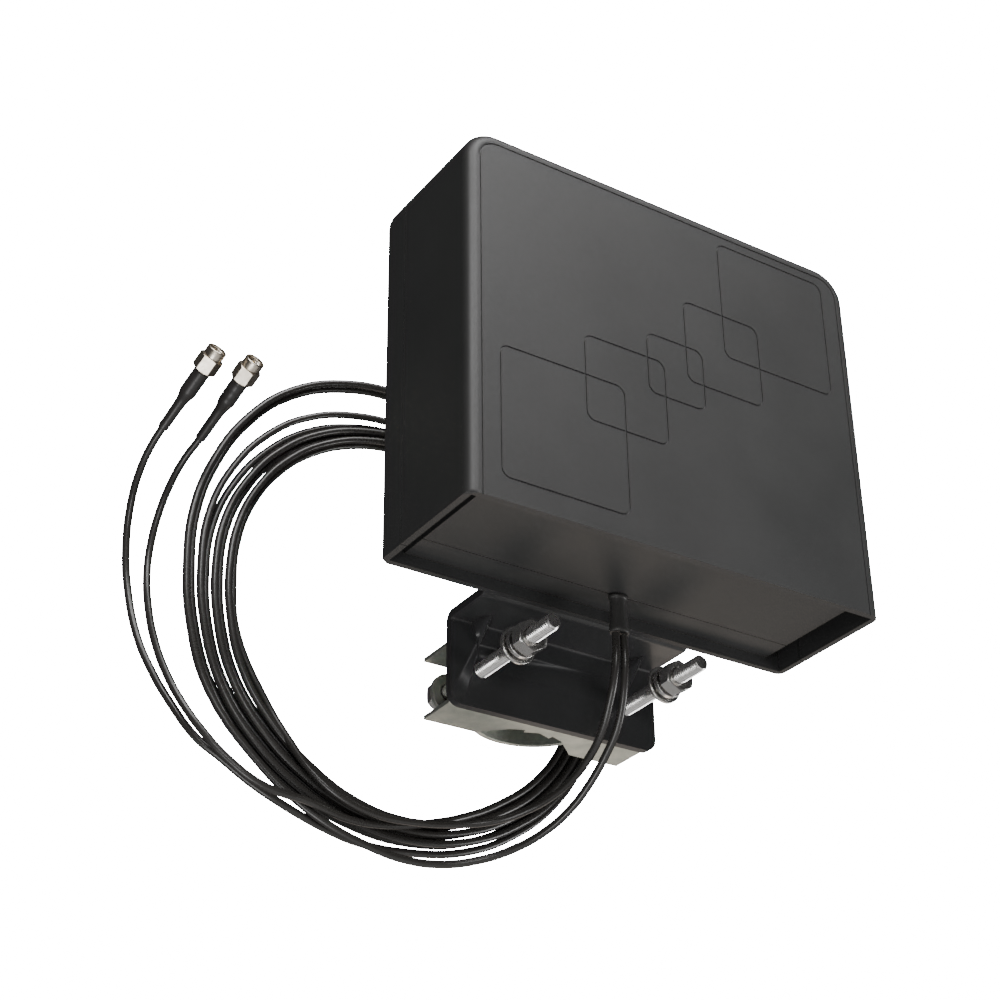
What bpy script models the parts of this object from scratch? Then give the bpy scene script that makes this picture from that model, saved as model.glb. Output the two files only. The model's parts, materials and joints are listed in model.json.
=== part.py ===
"""Outdoor directional panel antenna on a mast clamp, with two coiled leads and screw-on plugs.

Z is the mast's axis, and the origin lies on it at the mid-height of the clamp. The panel's
front faces -Y, and +X is on the right of someone who looks at that front. Every length is
in metres.
"""

import math

import bmesh
import bpy
from mathutils import Vector

MM = 0.001
GAP = 0.3 * MM                      # between pieces that touch

# ---------------------------------------------------------------- housing
HOUSING_WIDTH = 174.0 * MM
HOUSING_HEIGHT = 150.0 * MM
FRONT_COVER_DEPTH = 42.15 * MM
REAR_COVER_DEPTH = 14.05 * MM
COVER_WALL = 2.5 * MM
TOP_CORNER_RADIUS = 13.0 * MM
FRONT_EDGE_RADIUS = 4.0 * MM
REAR_EDGE_RADIUS = 3.0 * MM
SKIRT_HEIGHT = 4.5 * MM             # from the rim up to the underside of the floor
SLOT_WIDTH = 6.0 * MM               # drain slot at each end of the floor
HOUSING_FRONT = -104.0 * MM         # Y of the front face
HOUSING_BOTTOM = 18.0 * MM          # Z of the rim

FRAME_GROOVE_INSET = 5.2 * MM
GROOVE_WIDTH = 0.7 * MM
GROOVE_DEPTH = 0.5 * MM
GROOVE_STEP = 0.04 * MM             # each larger square is this much shallower
LARGE_SQUARE = 51.0 * MM
MEDIUM_SQUARE = 34.5 * MM
SMALL_SQUARE = 25.0 * MM
SQUARE_CORNER_RADIUS = 3.5 * MM
LARGE_SQUARE_SHIFT = (49.0 * MM, 40.5 * MM)      # of its middle from the panel's, in X and Z
MEDIUM_SQUARE_SHIFT = (22.5 * MM, 15.5 * MM)

# ---------------------------------------------------------------- screws and inner parts
BOSS_RADIUS = 3.5 * MM
BOSS_INSET = 9.0 * MM               # from the housing's side
BOSS_EDGE = 18.0 * MM               # from the rim and from the top
COVER_SCREW_RADIUS = 1.3 * MM
COVER_SCREW_HEAD_RADIUS = 2.6 * MM
COVER_SCREW_LENGTH = 19.0 * MM
COVER_SCREW_HEAD_HEIGHT = 1.7 * MM
COVER_SCREW_SINK = 2.2 * MM         # depth of the recess for its head
PILOT_DEPTH = 14.0 * MM             # of the hole in each front boss
SCREW_CLEARANCE = 0.3 * MM
BURIED = 0.5 * MM                   # how far a piece runs into the one it is joined to

SEAL_CLEARANCE = 0.5 * MM           # from the covers' walls
SEAL_WIDTH = 1.4 * MM

REFLECTOR_SIDE_MARGIN = 23.0 * MM   # from the housing's side
REFLECTOR_END_MARGIN = 17.0 * MM    # from the rim and from the top
REFLECTOR_THICKNESS = 1.5 * MM
REFLECTOR_CORNER_RADIUS = 3.0 * MM
BOARD_SIZE = 56.0 * MM
BOARD_THICKNESS = 1.6 * MM
BOARD_OFFSET = 31.0 * MM            # from the middle of the panel
STANDOFF_LENGTH = 18.0 * MM
STANDOFF_RADIUS = 3.0 * MM
STANDOFF_INSET = 6.0 * MM           # from the board's corner, along each side
BOARD_CORNER_RADIUS = 2.0 * MM
FEED_STRAIGHT = 4.0 * MM            # each feed cable's upright end over the boot

# ---------------------------------------------------------------- bracket
BRACKET_WIDTH = 88.5 * MM
BRACKET_THICKNESS = 3.0 * MM
BRACKET_BEND_RADIUS = 1.0 * MM
FLANGE_TOP = 118.0 * MM             # Z of the flange's upper edge
PLATE_FRONT = -24.0 * MM            # Y of the clamp plate's front face
PLATE_BOTTOM = -14.0 * MM
BRACKET_CORNER_RADIUS = 5.0 * MM
DART_SPREAD = 33.0 * MM             # each dart's distance from the middle
DART_LEG = 9.5 * MM
DART_HALF_WIDTH = 3.2 * MM
BRACKET_SCREW_RADIUS = 2.5 * MM
BRACKET_SCREW_HEAD_RADIUS = 4.6 * MM
BRACKET_SCREW_HEAD_HEIGHT = 2.8 * MM
BRACKET_SCREW_STICKS_OUT = 5.5 * MM     # in front of the reflector
BRACKET_NUT_ACROSS_FLATS = 8.0 * MM
BRACKET_NUT_HEIGHT = 4.0 * MM
SHELF_RISE = 0.5 * MM               # the shelf's underside above the rim
DART_SINK = 1.2 * MM                # how far each dart runs into the sheet
BRACKET_SCREW_SPREAD = 30.0 * MM
BRACKET_SCREW_LOW = 26.0 * MM       # above the rim
BRACKET_SCREW_PITCH = 52.0 * MM

# ---------------------------------------------------------------- clamp
JAW_WIDTH = 84.0 * MM
JAW_HEIGHT = 24.0 * MM
JAW_SHEET = 1.5 * MM
JAW_BEND_RADIUS = 0.8 * MM
JAW_TIP = -2.0 * MM                 # Y where its flanges end
NOTCH_HALF_WIDTH = 20.5 * MM
NOTCH_FLOOR_HALF_WIDTH = 11.0 * MM
NOTCH_FLOOR = -10.8 * MM
TEETH_PER_SIDE = 2
TOOTH_DEPTH = 2.0 * MM
TOOTH_ROOT_WIDTH = 0.4 * MM
SADDLE_WIDTH = 76.0 * MM
SADDLE_HEIGHT = 15.0 * MM
SADDLE_SHEET = 2.0 * MM
SADDLE_BEND_RADIUS = 23.0 * MM      # inside of its arc
SADDLE_REAR = 13.0 * MM             # Y of the arc's furthest point
EAR_CORNER_RADIUS = 7.0 * MM
BOLT_SPREAD = 31.4 * MM
BOLT_LEVEL = 1.0 * MM               # Z of both bolts
BOLT_RADIUS = 3.0 * MM
BOLT_LENGTH = 70.0 * MM
BOLT_CHAMFER = 0.7 * MM
HEX_ACROSS_FLATS = 11.0 * MM
HEAD_HEIGHT = 4.0 * MM
NUT_HEIGHT = 5.5 * MM
FLAT_WASHER_RADIUS = 7.0 * MM
FLAT_WASHER_THICKNESS = 1.4 * MM
SPRING_WASHER_RADIUS = 5.9 * MM
SPRING_WASHER_THICKNESS = 1.8 * MM
SPRING_WASHER_SPLIT = 0.7 * MM
WASHER_SPACE = 1.0 * MM             # left between the loose washers and the nut
NUT_FROM_TIP = 12.4 * MM            # from the bolt's tip to the nut's outer face

# ---------------------------------------------------------------- leads
LEAD_DIAMETER = 2.9 * MM
LEAD_PITCH = 3.3 * MM               # between the two leads in the boot
LEAD_POINT_SPACING = 3.0 * LEAD_DIAMETER
FEED_DIAMETER = 2.2 * MM
BOOT_X = 1.5 * MM
BOOT_TOP_RADIUS = 3.1 * MM
BOOT_END_RADIUS = 3.9 * MM
BOOT_COLLAR_RADIUS = 3.7 * MM
BOOT_COLLAR_HEIGHT = 1.2 * MM
BOOT_LIP = 0.5 * MM
BOOT_NECK_RADIUS = 2.7 * MM
BOOT_FLANGE_RADIUS = 5.5 * MM
BOOT_FLANGE_HEIGHT = 2.0 * MM
BOOT_LENGTH = 14.7 * MM             # below the floor
BOOT_DEPTH_RATIO = 0.75             # its depth as a share of its width

COIL_CENTRE = Vector((-36.3, 22.0, 42.0)) * MM
COIL_INNER_RADIUS = 68.0 * MM
COIL_OUTER_RADIUS = 98.0 * MM
COIL_THICKNESS = 10.0 * MM
COIL_EDGE_ROUNDING = 2.0 * MM
HOOK_RADIUS = 2.5 * MM
HOOK_TIP_RISE = 9.0 * MM
HOOK_REACH = 7.0 * MM               # past the coil
HOOK_BEND_RADIUS = 6.0 * MM
HOOK_FOOT_RADIUS = 7.0 * MM
HOOK_FOOT_THICKNESS = 2.5 * MM
STRAP_ANGLE = math.radians(25.0)
STRAP_WIDTH = 14.0 * MM
STRAP_THICKNESS = 1.2 * MM

# Each route runs from the boot to the coil, or from the coil to a plug's sleeve.
LEAD_A_ROUTE = [
    (0.0, -61.3, 0.0), (1.0, -58.2, -8.0), (2.4, -53.2, -14.6), (4.6, -44.4, -22.6),
    (5.8, -36.0, -27.4), (6.2, -24.4, -32.2), (4.9, -14.6, -35.2), (0.7, -3.2, -38.0),
    (-6.9, 6.0, -40.4), (-21.4, 13.4, -42.4), (-37.0, 15.1, -44.0), (-50.8, 15.2, -44.2)]
LEAD_B_ROUTE = [
    (3.8, -61.2, 0.5), (5.3, -58.4, -7.5), (7.1, -54.4, -14.0), (8.9, -47.8, -21.6),
    (9.6, -40.0, -27.9), (9.4, -30.4, -35.0), (7.4, -20.0, -42.2), (3.0, -10.6, -48.0),
    (-4.5, -1.6, -53.0), (-14.4, 5.8, -56.6), (-27.6, 11.8, -58.6), (-40.6, 14.6, -58.0),
    (-52.0, 15.2, -55.8)]
TAIL_A_ROUTE = [
    (-80.6, 18.6, -48.4), (-86.9, 18.4, -45.2), (-97.3, 19.4, -39.8), (-109.2, 20.4, -32.3),
    (-116.9, 22.0, -26.9), (-126.2, 25.9, -13.9), (-132.2, 31.7, 0.3), (-136.0, 36.3, 13.4),
    (-139.4, 39.8, 32.0), (-141.4, 39.6, 45.6), (-142.9, 35.7, 63.0), (-143.1, 29.2, 74.6),
    (-142.3, 21.8, 82.2)]
TAIL_B_ROUTE = [
    (-78.2, 14.6, -44.2), (-87.0, 13.6, -43.8), (-96.4, 13.7, -42.0), (-109.2, 15.3, -34.1),
    (-116.6, 16.9, -26.8), (-123.4, 20.1, -16.8), (-128.4, 25.3, -4.1), (-131.3, 31.8, 11.3),
    (-132.2, 37.2, 25.8), (-132.4, 40.5, 39.9), (-132.0, 40.4, 52.6), (-131.1, 37.0, 65.0),
    (-129.9, 31.0, 74.8), (-128.6, 24.4, 81.2)]
FEED_A_ROUTE = [
    (-29.0, -67.2, 70.0), (-28.2, -66.9, 60.0), (-24.0, -65.4, 51.0), (-15.0, -63.4, 45.0),
    (-6.0, -62.2, 41.5), (-1.2, -61.75, 37.0)]
FEED_B_ROUTE = [
    (32.0, -67.2, 70.0), (31.2, -66.9, 60.0), (27.0, -65.4, 51.0), (18.0, -63.4, 45.0),
    (9.0, -62.2, 41.5), (4.2, -61.75, 37.0)]

# ---------------------------------------------------------------- plugs
PLUG_A_PLACE = Vector((-136.9, -6.0, 100.4)) * MM     # middle of the nut's rear face
PLUG_A_AXIS = Vector((0.162, -0.836, 0.524))
PLUG_A_SLEEVE_LENGTH = 26.6 * MM
PLUG_B_PLACE = Vector((-123.3, -9.0, 99.1)) * MM
PLUG_B_AXIS = Vector((0.122, -0.882, 0.455))
PLUG_B_SLEEVE_LENGTH = 28.0 * MM
PLUG_HEX_ACROSS_FLATS = 8.0 * MM
PLUG_HEX_LENGTH = 6.2 * MM
PLUG_COLLAR_LENGTH = 3.4 * MM
PLUG_COLLAR_RADIUS = 3.7 * MM
PLUG_BORE_RADIUS = 3.1 * MM
PLUG_BACK_WALL = 1.8 * MM
PLUG_BARREL_RADIUS = 1.9 * MM
PLUG_FLANGE_RADIUS = 2.7 * MM
PLUG_FLANGE_THICKNESS = 1.2 * MM
PLUG_FACE_HEIGHT = 1.0 * MM         # the barrel's end in front of its flange
PLUG_EDGE = 0.3 * MM
PLUG_PIN_RECESS = 1.0 * MM          # the pin's tip behind the collar's end
PLUG_PIN_POINT = 0.6 * MM
PLUG_PIN_RADIUS = 0.5 * MM
SLEEVE_WIDE_RADIUS = 3.2 * MM
SLEEVE_WIDE_LENGTH = 10.0 * MM
SLEEVE_TAPER_LENGTH = 3.5 * MM
SLEEVE_NARROW_RADIUS = 2.25 * MM
SLEEVE_END_RADIUS = 1.85 * MM

# ---------------------------------------------------------------- worked-out places
SEAM = HOUSING_FRONT + FRONT_COVER_DEPTH + GAP / 2
REAR_COVER_FRONT = HOUSING_FRONT + FRONT_COVER_DEPTH + GAP
HOUSING_REAR = REAR_COVER_FRONT + REAR_COVER_DEPTH
REAR_WALL_FRONT = HOUSING_REAR - COVER_WALL
HOUSING_TOP = HOUSING_BOTTOM + HOUSING_HEIGHT
HOUSING_MIDDLE = HOUSING_BOTTOM + HOUSING_HEIGHT / 2
FLOOR_BOTTOM = HOUSING_BOTTOM + SKIRT_HEIGHT
FLOOR_TOP = FLOOR_BOTTOM + COVER_WALL
BOSS_X = HOUSING_WIDTH / 2 - BOSS_INSET
BOSS_PLACES = [(side * BOSS_X, z) for side in (-1, 1)
               for z in (HOUSING_BOTTOM + BOSS_EDGE, HOUSING_TOP - BOSS_EDGE)]

FLANGE_FRONT = HOUSING_REAR + GAP
FLANGE_REAR = FLANGE_FRONT + BRACKET_THICKNESS
SHELF_BOTTOM = HOUSING_BOTTOM + SHELF_RISE
PLATE_REAR = PLATE_FRONT + BRACKET_THICKNESS
BRACKET_SCREW_PLACES = [(side * BRACKET_SCREW_SPREAD, HOUSING_BOTTOM + BRACKET_SCREW_LOW + rise)
                        for side in (-1, 1) for rise in (0.0, BRACKET_SCREW_PITCH)]

JAW_FRONT = PLATE_REAR + GAP
SADDLE_EAR_FRONT = JAW_TIP + GAP
SADDLE_EAR_REAR = SADDLE_EAR_FRONT + SADDLE_SHEET
SADDLE_ARC_CENTRE = SADDLE_REAR - SADDLE_SHEET - SADDLE_BEND_RADIUS
HEAD_FRONT = SADDLE_EAR_REAR + GAP
BOLT_TIP = HEAD_FRONT - BOLT_LENGTH
NUT_FRONT = BOLT_TIP + NUT_FROM_TIP
SPRING_WASHER_FRONT = NUT_FRONT + NUT_HEIGHT + WASHER_SPACE
FLAT_WASHER_FRONT = SPRING_WASHER_FRONT + SPRING_WASHER_THICKNESS + WASHER_SPACE

REFLECTOR_REAR = REAR_WALL_FRONT - GAP
REFLECTOR_FRONT = REFLECTOR_REAR - REFLECTOR_THICKNESS
STANDOFF_REAR = REFLECTOR_FRONT - GAP
BOARD_REAR = STANDOFF_REAR - STANDOFF_LENGTH - GAP
BOOT_BOTTOM = FLOOR_BOTTOM - BOOT_LENGTH
BOOT_FLANGE_BOTTOM = FLOOR_TOP + GAP
HOOK_Z = COIL_CENTRE.z + COIL_INNER_RADIUS - GAP - HOOK_RADIUS


# ---------------------------------------------------------------- tools
def clear_scene():
    for old in list(bpy.data.objects):
        bpy.data.objects.remove(old, do_unlink=True)


def new_collection(name):
    collection = bpy.data.collections.new(name)
    bpy.context.scene.collection.children.link(collection)
    return collection


def new_material(name, colour, roughness, metallic):
    material = bpy.data.materials.new(name)
    material.use_nodes = True
    shader = material.node_tree.nodes["Principled BSDF"]
    shader.inputs["Base Color"].default_value = (*colour, 1.0)
    shader.inputs["Roughness"].default_value = roughness
    shader.inputs["Metallic"].default_value = metallic
    return material


def add_object(name, data, material=None, smooth=None):
    """Put data in the scene; smooth is the angle in degrees above which an edge stays sharp."""
    obj = bpy.data.objects.new(name, data)
    if material is None:
        obj.hide_render = True
        obj.display_type = 'WIRE'
        CUTTERS.objects.link(obj)
    else:
        data.materials.append(material)
        PARTS.objects.link(obj)
    if smooth is not None:
        data.shade_smooth()
        data.set_sharp_from_angle(angle=math.radians(smooth))
    return obj


def boolean(obj, other, operation='DIFFERENCE'):
    modifier = obj.modifiers.new(other.name, 'BOOLEAN')
    modifier.operation = operation
    modifier.object = other
    modifier.solver = 'EXACT'


def rounded(corners, radii, steps=6):
    """The outline through corners with each one rounded by its radius."""
    count = len(corners)
    outline = []
    for i, corner in enumerate(corners):
        here = Vector(corner)
        if radii[i] <= 0.0:
            outline.append(here)
            continue
        before = (Vector(corners[i - 1]) - here).normalized()
        after = (Vector(corners[(i + 1) % count]) - here).normalized()
        half = before.angle(after) / 2
        centre = here + (before + after).normalized() * (radii[i] / math.sin(half))
        start = here + before * (radii[i] / math.tan(half)) - centre
        end = here + after * (radii[i] / math.tan(half)) - centre
        sweep = start.angle_signed(end)
        for k in range(steps + 1):
            turn = -sweep * k / steps
            outline.append(centre + Vector((start.x * math.cos(turn) - start.y * math.sin(turn),
                                            start.x * math.sin(turn) + start.y * math.cos(turn))))
    return outline


def rectangle(half_width, low, high):
    return [(-half_width, low), (half_width, low), (half_width, high), (-half_width, high)]


PRISM_TURN = {'X': (math.pi / 2, 0.0, math.pi / 2), 'Y': (math.pi / 2, 0.0, 0.0),
              'Z': (0.0, 0.0, 0.0)}


def prism(name, outlines, axis, low, high, material=None, smooth=None):
    """Outlines drawn in the plane across axis, filled and extruded from low to high.

    An outline holds (y, z) for axis X, (x, z) for Y and (x, y) for Z. A second outline
    inside the first one is a hole.
    """
    curve = bpy.data.curves.new(name, 'CURVE')
    curve.dimensions = '2D'
    curve.fill_mode = 'BOTH'
    curve.extrude = (high - low) / 2
    for outline in outlines:
        spline = curve.splines.new('POLY')
        spline.points.add(len(outline) - 1)
        for point, place in zip(spline.points, outline):
            point.co = (place[0], place[1], 0.0, 1.0)
        spline.use_cyclic_u = True
    guide = bpy.data.objects.new(name + "_guide", curve)
    PARTS.objects.link(guide)
    guide.rotation_euler = PRISM_TURN[axis]
    guide.location['XYZ'.index(axis)] = (low + high) / 2
    bpy.context.view_layer.update()
    depsgraph = bpy.context.evaluated_depsgraph_get()
    mesh = bpy.data.meshes.new_from_object(guide.evaluated_get(depsgraph))
    bm = bmesh.new()
    bm.from_mesh(mesh)
    bmesh.ops.remove_doubles(bm, verts=bm.verts, dist=0.001 * MM)
    bm.transform(guide.matrix_world)
    bmesh.ops.recalc_face_normals(bm, faces=bm.faces)
    bm.to_mesh(mesh)
    bm.free()
    bpy.data.objects.remove(guide)
    return add_object(name, mesh, material, smooth)


def cylinder_y(name, x, z, radius, low, high, material=None, smooth=None, steps=24):
    """A round bar along Y from low to high."""
    bm = bmesh.new()
    bmesh.ops.create_cone(bm, cap_ends=True, segments=steps, radius1=radius, radius2=radius,
                          depth=high - low)
    mesh = bpy.data.meshes.new(name)
    bm.to_mesh(mesh)
    bm.free()
    obj = add_object(name, mesh, material, smooth)
    obj.rotation_euler = (math.pi / 2, 0.0, 0.0)
    obj.location = (x, (low + high) / 2, z)
    return obj


def turned(name, profile, material=None, steps=32, closed=False):
    """A profile of (radius, height) turned about Z; it runs down its outer side."""
    mesh = bpy.data.meshes.new(name)
    edges = [(i, i + 1) for i in range(len(profile) - 1)]
    if closed:
        edges.append((len(profile) - 1, 0))
    mesh.from_pydata([(radius, 0.0, height) for radius, height in profile], edges, [])
    obj = add_object(name, mesh, material)
    screw = obj.modifiers.new("turn", 'SCREW')
    screw.angle = math.tau
    screw.steps = steps
    screw.render_steps = steps
    screw.use_merge_vertices = True
    screw.merge_threshold = 0.001 * MM
    screw.use_smooth_shade = True
    obj.modifiers.new("even_shading", 'WEIGHTED_NORMAL')
    return obj


def ring_profile(outer, inner, low, high):
    return [(outer, high), (outer, low), (inner, low), (inner, high)]


def along_front(obj, x, y, z):
    """Stand a piece that was made along +Z so that it points at -Y."""
    obj.rotation_euler = (math.pi / 2, 0.0, 0.0)
    obj.location = (x, y, z)
    return obj


def smooth_path(points, spacing):
    """Points about spacing apart on a smooth curve through the given ones."""
    knots = [Vector(p) for p in points]
    knots = [knots[0] * 2 - knots[1]] + knots + [knots[-1] * 2 - knots[-2]]
    fine = []
    for p0, p1, p2, p3 in zip(knots, knots[1:], knots[2:], knots[3:]):
        for k in range(12):
            t = k / 12
            fine.append(0.5 * (2 * p1 + (p2 - p0) * t + (2 * p0 - 5 * p1 + 4 * p2 - p3) * t ** 2
                               + (3 * p1 - p0 - 3 * p2 + p3) * t ** 3))
    fine.append(knots[-2])
    reach = [0.0]
    for a, b in zip(fine, fine[1:]):
        reach.append(reach[-1] + (b - a).length)
    count = max(2, round(reach[-1] / spacing))
    path = []
    j = 0
    for i in range(count + 1):
        target = reach[-1] * i / count
        while j < len(fine) - 2 and reach[j + 1] < target:
            j += 1
        share = (target - reach[j]) / (reach[j + 1] - reach[j])
        path.append(fine[j].lerp(fine[j + 1], share))
    return path


def tube(name, path, diameter, material):
    curve = bpy.data.curves.new(name, 'CURVE')
    curve.dimensions = '3D'
    curve.bevel_depth = diameter / 2
    curve.bevel_resolution = 2
    curve.use_fill_caps = True
    spline = curve.splines.new('POLY')
    spline.points.add(len(path) - 1)
    for point, place in zip(spline.points, path):
        point.co = (*place, 1.0)
    curve.materials.append(material)
    obj = bpy.data.objects.new(name, curve)
    PARTS.objects.link(obj)
    return obj


def route(points):
    return [Vector(p) * MM for p in points]


def hex_bar(name, across_flats, low, high, material=None):
    """A six-sided bar along Z."""
    bm = bmesh.new()
    bmesh.ops.create_cone(bm, cap_ends=True, segments=6, radius1=across_flats / math.sqrt(3),
                          radius2=across_flats / math.sqrt(3), depth=high - low)
    bmesh.ops.translate(bm, verts=bm.verts, vec=(0.0, 0.0, (low + high) / 2))
    mesh = bpy.data.meshes.new(name)
    bm.to_mesh(mesh)
    bm.free()
    return add_object(name, mesh, material)


def chamfer_guide(name, across_flats, low, high, cut_low=True, cut_high=True):
    """The round blank whose chamfers take the points off a hexagon."""
    wide = across_flats / math.sqrt(3) + 0.1 * MM
    narrow = across_flats / 2 - 0.1 * MM
    drop = (wide - narrow) * math.tan(math.radians(30.0))
    top = [(0.0, high), (narrow, high), (wide, high - drop)]
    bottom = [(wide, low + drop), (narrow, low), (0.0, low)]
    if not cut_high:
        top = [(0.0, high + MM), (wide, high + MM)]
    if not cut_low:
        bottom = [(wide, low - MM), (0.0, low - MM)]
    return turned(name, top + bottom, steps=36)


# ---------------------------------------------------------------- housing
def housing_outline(inset=0.0, low=None):
    low = HOUSING_BOTTOM if low is None else low
    corner = TOP_CORNER_RADIUS - inset
    return rounded(rectangle(HOUSING_WIDTH / 2 - inset, low, HOUSING_TOP - inset),
                   [0.0, 0.0, corner, corner])


def cover_block(name, low, high, edge_y, edge_radius, material):
    """The cover's outer shape, with its front or rear edge rounded but not along the rim."""
    obj = prism(name, [housing_outline()], 'Y', low, high, material)
    bm = bmesh.new()
    bm.from_mesh(obj.data)
    near = 0.01 * MM
    edges = []
    for edge in bm.edges:
        on_face = all(abs(v.co.y - edge_y) < near for v in edge.verts)
        on_rim = all(v.co.z < HOUSING_BOTTOM + near for v in edge.verts)
        border = len(edge.link_faces) == 2 and edge.calc_face_angle() > math.radians(45.0)
        if on_face and border and not on_rim:
            edges.append(edge)
    bmesh.ops.bevel(bm, geom=edges, offset=edge_radius, segments=4, profile=0.5,
                    affect='EDGES', clamp_overlap=False)
    bm.to_mesh(obj.data)
    bm.free()
    obj.data.shade_smooth()
    obj.data.set_sharp_from_angle(angle=math.radians(35.0))
    return obj


def hollow_out(obj, low, high):
    """Cut a cover's inside away, all but the floor, which leaves a drain slot at each end."""
    inner = HOUSING_WIDTH / 2 - COVER_WALL
    inside = housing_outline(COVER_WALL, HOUSING_BOTTOM - MM)
    floor = rectangle(inner - SLOT_WIDTH, FLOOR_BOTTOM, FLOOR_TOP)
    boolean(obj, prism(obj.name + "_inside", [inside, floor], 'Y', low, high))


def boot_hole(name):
    """The oval hole in the floor, half in each cover."""
    wide = BOOT_NECK_RADIUS + GAP
    deep = BOOT_NECK_RADIUS * BOOT_DEPTH_RATIO + GAP
    oval = [(BOOT_X + wide * math.cos(math.tau * k / 24), SEAM + deep * math.sin(math.tau * k / 24))
            for k in range(24)]
    return prism(name, [oval], 'Z', FLOOR_BOTTOM - MM, FLOOR_TOP + MM)


def square_ring(centre_x, centre_z, size):
    rings = []
    for grow in (GROOVE_WIDTH / 2, -GROOVE_WIDTH / 2):
        half = size / 2 + grow
        corners = [(centre_x + u * half, centre_z + v * half)
                   for u, v in ((-1, -1), (1, -1), (1, 1), (-1, 1))]
        rings.append(rounded(corners, [SQUARE_CORNER_RADIUS + grow] * 4, steps=4))
    return rings


def make_front_cover(plastic):
    cover = cover_block("front_cover", HOUSING_FRONT, HOUSING_FRONT + FRONT_COVER_DEPTH,
                        HOUSING_FRONT, FRONT_EDGE_RADIUS, plastic)
    hollow_out(cover, HOUSING_FRONT + COVER_WALL, SEAM + MM)
    boolean(cover, boot_hole("front_cover_boot_hole"))
    for i, (x, z) in enumerate(BOSS_PLACES):
        seat = HOUSING_FRONT + FRONT_COVER_DEPTH
        boss = cylinder_y(f"front_boss_{i}", x, z, BOSS_RADIUS,
                          HOUSING_FRONT + COVER_WALL - BURIED, seat)
        boolean(cover, boss, 'UNION')
        pilot_radius = COVER_SCREW_RADIUS + SCREW_CLEARANCE
        pilot = cylinder_y(f"front_pilot_{i}", x, z, pilot_radius, seat - PILOT_DEPTH,
                           seat + MM, steps=16)
        boolean(cover, pilot)
    low = HOUSING_FRONT - MM
    high = HOUSING_FRONT + GROOVE_DEPTH
    squares = [(0.0, 0.0, SMALL_SQUARE)]
    for side in (-1, 1):
        for shift, size in ((MEDIUM_SQUARE_SHIFT, MEDIUM_SQUARE), (LARGE_SQUARE_SHIFT, LARGE_SQUARE)):
            squares.append((side * shift[0], side * shift[1], size))
    for i, (x, z, size) in enumerate(squares):
        ring = square_ring(x, HOUSING_MIDDLE + z, size)
        floor = high - i * GROOVE_STEP
        boolean(cover, prism(f"square_groove_{i}", ring, 'Y', low - i * GROOVE_STEP, floor))
    frame = [housing_outline(FRAME_GROOVE_INSET + shift, HOUSING_BOTTOM - MM - shift)
             for shift in (-GROOVE_WIDTH / 2, GROOVE_WIDTH / 2)]
    boolean(cover, prism("frame_groove", [frame_strip(*frame)], 'Y', low, high))
    return cover


def frame_strip(outer, inner):
    """A strip between two outlines that is open along the rim."""
    return outer[1:] + outer[:1] + inner[:1] + inner[:0:-1]


def make_rear_cover(plastic):
    cover = cover_block("rear_cover", REAR_COVER_FRONT, HOUSING_REAR, HOUSING_REAR,
                        REAR_EDGE_RADIUS, plastic)
    hollow_out(cover, SEAM - MM, REAR_WALL_FRONT)
    boolean(cover, boot_hole("rear_cover_boot_hole"))
    for i, (x, z) in enumerate(BOSS_PLACES):
        boss = cylinder_y(f"rear_boss_{i}", x, z, BOSS_RADIUS, REAR_COVER_FRONT,
                          REAR_WALL_FRONT + BURIED)
        boolean(cover, boss, 'UNION')
        hole = cylinder_y(f"rear_hole_{i}", x, z, COVER_SCREW_RADIUS + SCREW_CLEARANCE,
                          REAR_COVER_FRONT - MM, HOUSING_REAR + MM, steps=16)
        boolean(cover, hole)
        sink = cylinder_y(f"rear_sink_{i}", x, z, COVER_SCREW_HEAD_RADIUS + SCREW_CLEARANCE,
                          HOUSING_REAR - COVER_SCREW_SINK, HOUSING_REAR + MM)
        boolean(cover, sink)
    for i, (x, z) in enumerate(BRACKET_SCREW_PLACES):
        hole = cylinder_y(f"rear_bracket_hole_{i}", x, z, BRACKET_SCREW_RADIUS + SCREW_CLEARANCE,
                          REAR_WALL_FRONT - MM, HOUSING_REAR + MM)
        boolean(cover, hole)
    return cover


def make_cover_seal(rubber):
    """A soft strip inside the seam, along the sides and the top."""
    outer_inset = COVER_WALL + SEAL_CLEARANCE
    inner_inset = outer_inset + SEAL_WIDTH
    low = FLOOR_TOP + MM
    outer = housing_outline(outer_inset, low)
    inner = housing_outline(inner_inset, low)
    prism("cover_seal", [frame_strip(outer, inner)], 'Y', SEAM - MM, SEAM + MM, rubber)


def pan_head(radius, height):
    """The profile of a screw's low round head, from its middle down to its rim."""
    return [(0.0, height), (radius * 0.6, height * 0.95), (radius, height * 0.4), (radius, 0.0)]


def make_cover_screws(steel):
    for i, (x, z) in enumerate(BOSS_PLACES):
        profile = pan_head(COVER_SCREW_HEAD_RADIUS, COVER_SCREW_HEAD_HEIGHT)
        profile += [(COVER_SCREW_RADIUS, 0.0), (COVER_SCREW_RADIUS, -COVER_SCREW_LENGTH),
                    (0.0, -COVER_SCREW_LENGTH)]
        screw = turned(f"cover_screw_{i + 1}", profile, steel, steps=20)
        screw.rotation_euler = (-math.pi / 2, 0.0, 0.0)
        screw.location = (x, HOUSING_REAR - COVER_SCREW_SINK + GAP, z)


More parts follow.
